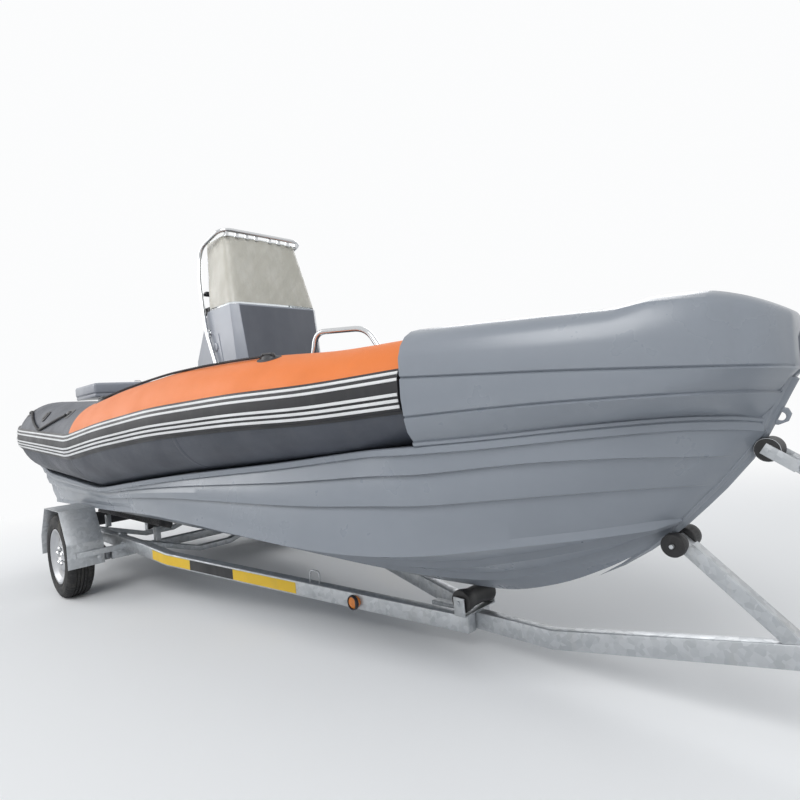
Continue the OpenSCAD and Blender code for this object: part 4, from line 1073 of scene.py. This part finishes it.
def makeSternLid():
    low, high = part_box("stern_locker_lid")
    seat = low.z + 0.115
    parts = [softBox((low.x, low.y, low.z + 0.022), (high.x, high.y, seat), 0.022, 5)]
    parts.append(softBox((low.x + 0.008, low.y + 0.008, low.z),
                         (high.x - 0.008, high.y - 0.008, low.z + 0.030), 0.004, 2))
    parts.append(softBox((low.x + 0.05, low.y + 0.05, seat - 0.004),
                         (high.x - 0.05, high.y - 0.05, seat + 0.004), 0.003, 2))
    lid = faceOutward(roundsOf("sternLidPanel", *joinParts(parts), 35))
    settle(lid, lidPaint, "stern_locker_lid", stands=["stern_locker_lid"])
    parts = []
    x, z = -0.481, seat
    for y in (-0.20, 0.20):
        parts.append(softBox((x - 0.018, y - 0.035, z), (x + 0.018, y + 0.035, z + 0.004), 0.0015))
        parts.append(sweep(evenPath(roundPath([(x, y - 0.026, z), (x, y - 0.026, z + 0.014),
                                               (x, y + 0.026, z + 0.014), (x, y + 0.026, z)], 0.01), 0.004),
                           circle(0.0035, 12)))
        parts.append(placed(turned([(0.006, -0.03), (0.006, 0.03)], 16), (low.x + 0.002, y, low.z + 0.006),
                            (0, 1, 0)))
    catches = faceOutward(roundsOf("sternLidCatches", *joinParts(parts), 35))
    settle(catches, stainless, "stern_locker_lid")


makeConsole()
makeScreen3d()
makeHelm()
makeSternLid()
print("console and lockers made")


# wheels

wheelLook = {"y": 0.9225, "z": 0.292, "tyreRadius": 0.292, "rim": 0.192, "half": 0.0875, "blocks": 60}


def makeTyre(side, word):
    w = wheelLook
    h, outer, bead = w["half"], w["tyreRadius"], w["rim"] + 0.0003
    profile = [(bead, -h + 0.014), (bead + 0.006, -h + 0.004), (bead + 0.012, -h + 0.0035),
               (bead + 0.016, -h + 0.006),
               (bead + 0.030, -h + 0.001), (bead + 0.045, -h), (bead + 0.050, -h + 0.0018),
               (outer - 0.040, -h + 0.002),
               (outer - 0.030, -h + 0.004), (outer - 0.024, -h + 0.007), (outer - 0.010, -h + 0.014),
               (outer - 0.003, -h + 0.024),
               (outer, -h + 0.034)]
    grooves = []
    for at in (-0.032, -0.011, 0.011, 0.032):
        grooves += [(outer, at - 0.0045), (outer - 0.0075, at - 0.003), (outer - 0.0075, at + 0.003),
                    (outer, at + 0.0045)]
    profile = profile + grooves + [(r, -z) for r, z in profile[::-1]]
    steps = w["blocks"] * 6
    rings = []
    for k in range(steps):
        a = 2 * math.pi * k / steps
        ring = []
        phase = k % 6
        for r, z in profile:
            cut = 0.0
            wide = abs(z)
            if r > outer - 0.026 and wide > 0.037 and phase in (0, 1):  # shoulder slots
                cut = 0.0062
            if r > outer - 0.001 and 0.012 < wide < 0.031 and (k + (3 if z > 0 else 0)) % 6 == 0:
                cut = 0.004
            ring.append(((r - cut) * math.cos(a), z, w["z"] + (r - cut) * math.sin(a)))
        rings.append([(x, side * w["y"] + y, z) for x, y, z in ring])
    n = len(profile)
    verts = np.concatenate([np.array(r) for r in rings])
    faces = []
    for i in range(steps):
        j = (i + 1) % steps
        for k in range(n):
            m = (k + 1) % n
            faces.append((i * n + k, i * n + m, j * n + m, j * n + k))
    tyre = faceOutward(roundsOf("tyreTread_" + word, verts, faces, 34))
    settle(tyre, tyreRubber, "wheel_" + word, stands=["tyre_" + word])


def makeRim(side, word):
    body = "wheel_" + word
    settle(softened("rim_" + word, 0.0018, 2, 24), rimSilver, body, stands=["rim_" + word])
    face = wheelLook["y"] + wheelLook["half"] - 0.008 - 0.020
    parts = []
    for k in range(5):
        a = math.radians(72 * k + 18)
        at = (0.056 * math.cos(a), side * (face - 0.0002), wheelLook["z"] + 0.056 * math.sin(a))
        nut = turned([(0.0125, -0.02), (0.0125, 0.004), (0.0105, 0.009), (0.010, 0.013), (0.006, 0.017),
                      (0.001, 0.0182)], 6)
        parts.append(placed(nut, at, (0, side, 0)))
    cap = turned([(0.034, -0.024), (0.034, 0.010), (0.032, 0.019), (0.026, 0.024), (0.012, 0.0262),
                  (0.001, 0.0266)], 40)
    parts.append(placed(cap, (0, side * (face - 0.028), wheelLook["z"]), (0, side, 0)))
    settle(faceOutward(roundsOf("wheelNuts_" + word, *joinParts(parts), 35)), stainless, body)
    stemAt = (0.128, side * (face - 0.012), wheelLook["z"] - 0.02)
    stem = placed(turned([(0.0058, 0), (0.0056, 0.018), (0.0048, 0.019), (0.0048, 0.028), (0.004, 0.030)],
                         18), stemAt, (0.35, side, 0))
    settle(faceOutward(roundsOf("valveStem_" + word, *stem, 35)), blackPlastic, body)


for side, word in ((-1, "starboard"), (1, "port")):
    makeTyre(side, word)
    makeRim(side, word)
print("wheels made")


# trailer

steelNodes = {"side_rails": 0.006, "cross_members": 0.004, "drawbar": 0.005, "coupling": 0.003,
              "axle_beam": 0.004,
              "keel_roller_brackets": 0.0012, "bunk_supports": 0.003, "stem_support": 0.003,
              "winch_post": 0.004,
              "bow_stop": 0.002, "winch_frame": 0.0015, "jockey_clamp": 0.003, "lashing_loops": 0.001,
              "fender_starboard": 0.0006, "fender_port": 0.0006}


def makeSteelwork():
    for node, edge in steelNodes.items():
        settle(softened(node, edge), galvanised, stands=[node])
    for node in ("suspension_arm_starboard", "suspension_arm_port"):
        settle(softened(node, 0.004), darkSteel, stands=[node])
    for node in ("winch_drum", "jockey_leg", "jockey_fork"):
        settle(softened(node, 0.0012), galvanised, node, stands=[node])
    settle(softened("jockey_wheel", 0.003), rollerRubber, "jockey_wheel",
           stands=["jockey_wheel"])
    for node in ("keel_rollers", "stem_rollers"):
        settle(softened(node, 0.003, 3), rollerRubber, stands=[node])
    wheel = turned([(0.028, -0.0392), (0.0345, -0.0392), (0.0368, -0.036), (0.0366, 0.036), (0.0345, 0.0392),
                    (0.028, 0.0392)], 48)
    wheel = faceOutward(roundsOf("bowStopRoller", *placed(wheel, (4.108, 0, 0.925), (0, 1, 0)), 30))
    settle(wheel, rollerRubber)
    settle(softened("bunks", 0.009, 3), bunkCarpet, stands=["bunks"])
    settle(softened("light_board", 0.004), blackPlastic, stands=["light_board"])
    settle(softened("rear_lamps", 0.004, 3), redLens, stands=["rear_lamps"])
    settle(softened("side_lamps", 0.003, 3), amberLens, stands=["side_lamps"])
    settle(softened("number_plate", 0.001), plateWhite, stands=["number_plate"])


def makeTrailerBolts():
    parts = []
    for node in ("fender_starboard", "fender_port"):
        low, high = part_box(node)
        side = -1 if high.y < 0 else 1
        inner = low.y if side > 0 else high.y
        for y in (0.055, 0.165):
            parts += boltSet((high.x - 0.0002, side * (abs(inner) + y), 0.300), (1, 0, 0), 0.008)
    for x in (-0.770, 0.320):
        for side in (-1, 1):
            parts += boltSet((x, side * 0.6703, 0.345), (0, side, 0), 0.010)
    low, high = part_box("axle_beam")
    for side in (-1, 1):
        for dx in (0.035, (high.x - low.x) - 0.035):
            parts += boltSet((low.x + dx, side * 0.640, 0.3853), (0, 0, 1), 0.009)
    low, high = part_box("light_board")
    for y in (-0.42, 0.42):
        parts += boltSet((low.x, y, (low.z + high.z) / 2), (-1, 0, 0), 0.008)
    for x in (4.585, 4.655):
        for side in (-1, 1):
            parts += boltSet((x, side * 0.0305, 0.44), (0, side, 0), 0.009)
    bolts = faceOutward(roundsOf("trailerBolts", *joinParts(parts), 35))
    settle(bolts, galvanised)


def makeRailDetails():
    parts, yellow, black = [], [], []
    for side in (-1, 1):  # folded caps in the rail ends
        parts.append(softBox((-0.906, side * 0.640 - 0.027, 0.308), (-0.898, side * 0.640 + 0.027, 0.382),
                             0.003))
    caps = faceOutward(roundsOf("railEndCaps", *joinParts(parts), 35))
    settle(caps, blackPlastic)
    # plain coloured marker plates on the outer face of the rails; x, half breadth and height of the rail's middle
    rows = np.array([(0.420, 0.640, 0.345), (0.640, 0.622, 0.333), (0.900, 0.580, 0.295),
                     (2.920, 0.0553, 0.145)])
    for side in (-1, 1):
        for x0, x1, kind in ((0.76, 1.128, yellow), (1.130, 1.488, black), (1.490, 1.95, yellow)):
            ring = []
            for x in np.linspace(x0, x1, 8):
                y, z = np.interp(x, rows[:, 0], rows[:, 1]), np.interp(x, rows[:, 0], rows[:, 2])
                face = side * (y + 0.0304)
                ring.append([(x, face, z - 0.030), (x, face, z + 0.030),
                             (x, face + side * 0.0012, z + 0.029), (x, face + side * 0.0012, z - 0.029)])
            kind.append(skinOf(ring))
    settle(faceOutward(roundsOf("markerPlatesYellow", *joinParts(yellow), 35)), warnYellow)
    settle(faceOutward(roundsOf("markerPlatesBlack", *joinParts(black), 35)), plateBlack)


def makeLampDetails():
    parts = []
    low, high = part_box("side_lamps")
    for side in (-1, 1):
        at = ((low.x + high.x) / 2, side * high.y, (low.z + high.z) / 2)
        radius = (high.x - low.x) / 2
        bezel = turned([(radius + 0.004, -0.014), (radius + 0.004, -0.004), (radius + 0.0015, 0.0012),
                        (radius - 0.003, 0.0012), (radius - 0.003, -0.010)], 40)
        parts.append(placed(bezel, at, (0, side, 0)))
    low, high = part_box("rear_lamps")
    for side in (-1, 1):
        for k in range(2):
            y = side * (high.y - 0.03 - 0.06 * k)
            parts.append(softBox((low.x - 0.0015, y - 0.002, low.z + 0.004),
                                 (low.x + 0.004, y + 0.002, high.z - 0.004), 0.001))
    settle(faceOutward(roundsOf("lampTrim", *joinParts(parts), 35)), blackPlastic)


def makeWinchDetails():
    centre = Vector((4.62, 0, 0.722))
    coils = []
    for k in range(70):  # strap wound on the drum, one flat layer over another
        a = k * 2 * math.pi / 70
        coils.append([(centre.x + r * math.cos(a), y, centre.z + r * math.sin(a))
                      for r, y in ((0.022, -0.022), (0.034 + 0.0006 * math.sin(9 * a), -0.023), (0.0352, 0.0),
                                   (0.034 + 0.0006 * math.cos(7 * a), 0.023), (0.022, 0.022))])
    rings = coils + [coils[0]]
    strap = faceOutward(roundsOf("winchStrap", *skinOf(rings, caps=False), 35))
    settle(strap, ropeCloth, "winch_drum")


makeSteelwork()
makeTrailerBolts()
makeRailDetails()
makeLampDetails()
makeWinchDetails()
print("trailer made")


# floor, light and camera

def makeStage():
    floor = roundsOf("floor", [(-40, -40, 0), (40, -40, 0), (40, 40, 0), (-40, 40, 0)], [(0, 1, 2, 3)],
                     smooth=False)
    finish, tree, shader = newFinish("floorPaper", Base_Color=(0.86, 0.87, 0.88, 1), Roughness=0.9)
    floor.data.materials.append(finish)
    # far off, the floor as the camera sees it runs into the background
    glow = add(tree, "ShaderNodeEmission")
    glow.inputs["Color"].default_value = (0.97, 0.975, 0.98, 1)
    away = add(tree, "ShaderNodeVectorMath", operation="DISTANCE")
    tree.links.new(add(tree, "ShaderNodeNewGeometry").outputs["Position"], away.inputs[0])
    away.inputs[1].default_value = (2.2, 0, 0)
    fade = add(tree, "ShaderNodeMapRange", interpolation_type="SMOOTHSTEP")
    fade.inputs["From Min"].default_value = 3.2
    fade.inputs["From Max"].default_value = 7.5
    tree.links.new(away.outputs["Value"], fade.inputs["Value"])
    seenFrom = add(tree, "ShaderNodeLightPath").outputs["Is Camera Ray"]
    blend = add(tree, "ShaderNodeMixShader")
    tree.links.new(mathNode(tree, "MULTIPLY", fade.outputs["Result"], seenFrom), blend.inputs[0])
    tree.links.new(shader.outputs[0], blend.inputs[1])
    tree.links.new(glow.outputs[0], blend.inputs[2])
    tree.links.new(blend.outputs[0], tree.nodes["Material Output"].inputs["Surface"])
    world = bpy.data.worlds.new("studio")
    bpy.context.scene.world = world
    world.use_nodes = True
    tree = world.node_tree
    back = tree.nodes["Background"]
    back.inputs["Color"].default_value = (0.86, 0.88, 0.90, 1)
    back.inputs["Strength"].default_value = 0.55
    bright = tree.nodes.new("ShaderNodeBackground")
    bright.inputs["Color"].default_value = (0.97, 0.975, 0.98, 1)
    bright.inputs["Strength"].default_value = 1.0
    rays = tree.nodes.new("ShaderNodeLightPath")
    seen = mathNode(tree, "MAXIMUM", rays.outputs["Is Camera Ray"],
                    mathNode(tree, "MAXIMUM", rays.outputs["Is Glossy Ray"],
                             rays.outputs["Is Transmission Ray"]))
    choose = tree.nodes.new("ShaderNodeMixShader")
    tree.links.new(seen, choose.inputs[0])
    tree.links.new(back.outputs[0], choose.inputs[1])
    tree.links.new(bright.outputs[0], choose.inputs[2])
    tree.links.new(choose.outputs[0], tree.nodes["World Output"].inputs["Surface"])
    for name, at, aim, size, power in (("keyLight", (5.5, -5.5, 7.0), (2, 0, 0.9), 5.0, 400),
                                       ("fillLight", (-4.5, -5.0, 4.5), (1, 0, 0.8), 5.0, 190),
                                       ("backLight", (0.0, 6.5, 5.5), (2, 0, 0.9), 5.0, 170)):
        data = bpy.data.lights.new(name, "AREA")
        data.size, data.energy = size, power
        lamp = bpy.data.objects.new(name, data)
        bpy.context.scene.collection.objects.link(lamp)
        lamp.location = at
        lamp.rotation_euler = (Vector(aim) - Vector(at)).to_track_quat("-Z", "Y").to_euler()


def makeCamera():
    look = {"at": (4.509, -1.998, 1.145), "yaw": 44.857, "pitch": 0.743, "roll": -4.65,
            "lens": 550.2 / 800 * 36}
    data = bpy.data.cameras.new("camera")
    data.lens, data.sensor_width = look["lens"], 36
    camera = bpy.data.objects.new("camera", data)
    bpy.context.scene.collection.objects.link(camera)
    yaw, pitch, roll = (math.radians(look[k]) for k in ("yaw", "pitch", "roll"))
    forward = Vector((-math.sin(yaw) * math.cos(pitch), math.cos(yaw) * math.cos(pitch), math.sin(pitch)))
    right = Vector((math.cos(yaw), math.sin(yaw), 0))
    up = right.cross(forward)
    rightRolled = math.cos(roll) * right + math.sin(roll) * up
    upRolled = -math.sin(roll) * right + math.cos(roll) * up
    turn = Matrix((rightRolled, upRolled, -forward)).transposed()
    camera.matrix_world = Matrix.Translation(look["at"]) @ turn.to_4x4()
    data.clip_start = 0.01
    bpy.context.scene.camera = camera


makeStage()
makeCamera()
bpy.context.scene.view_settings.view_transform = "Standard"
print("scene ready")
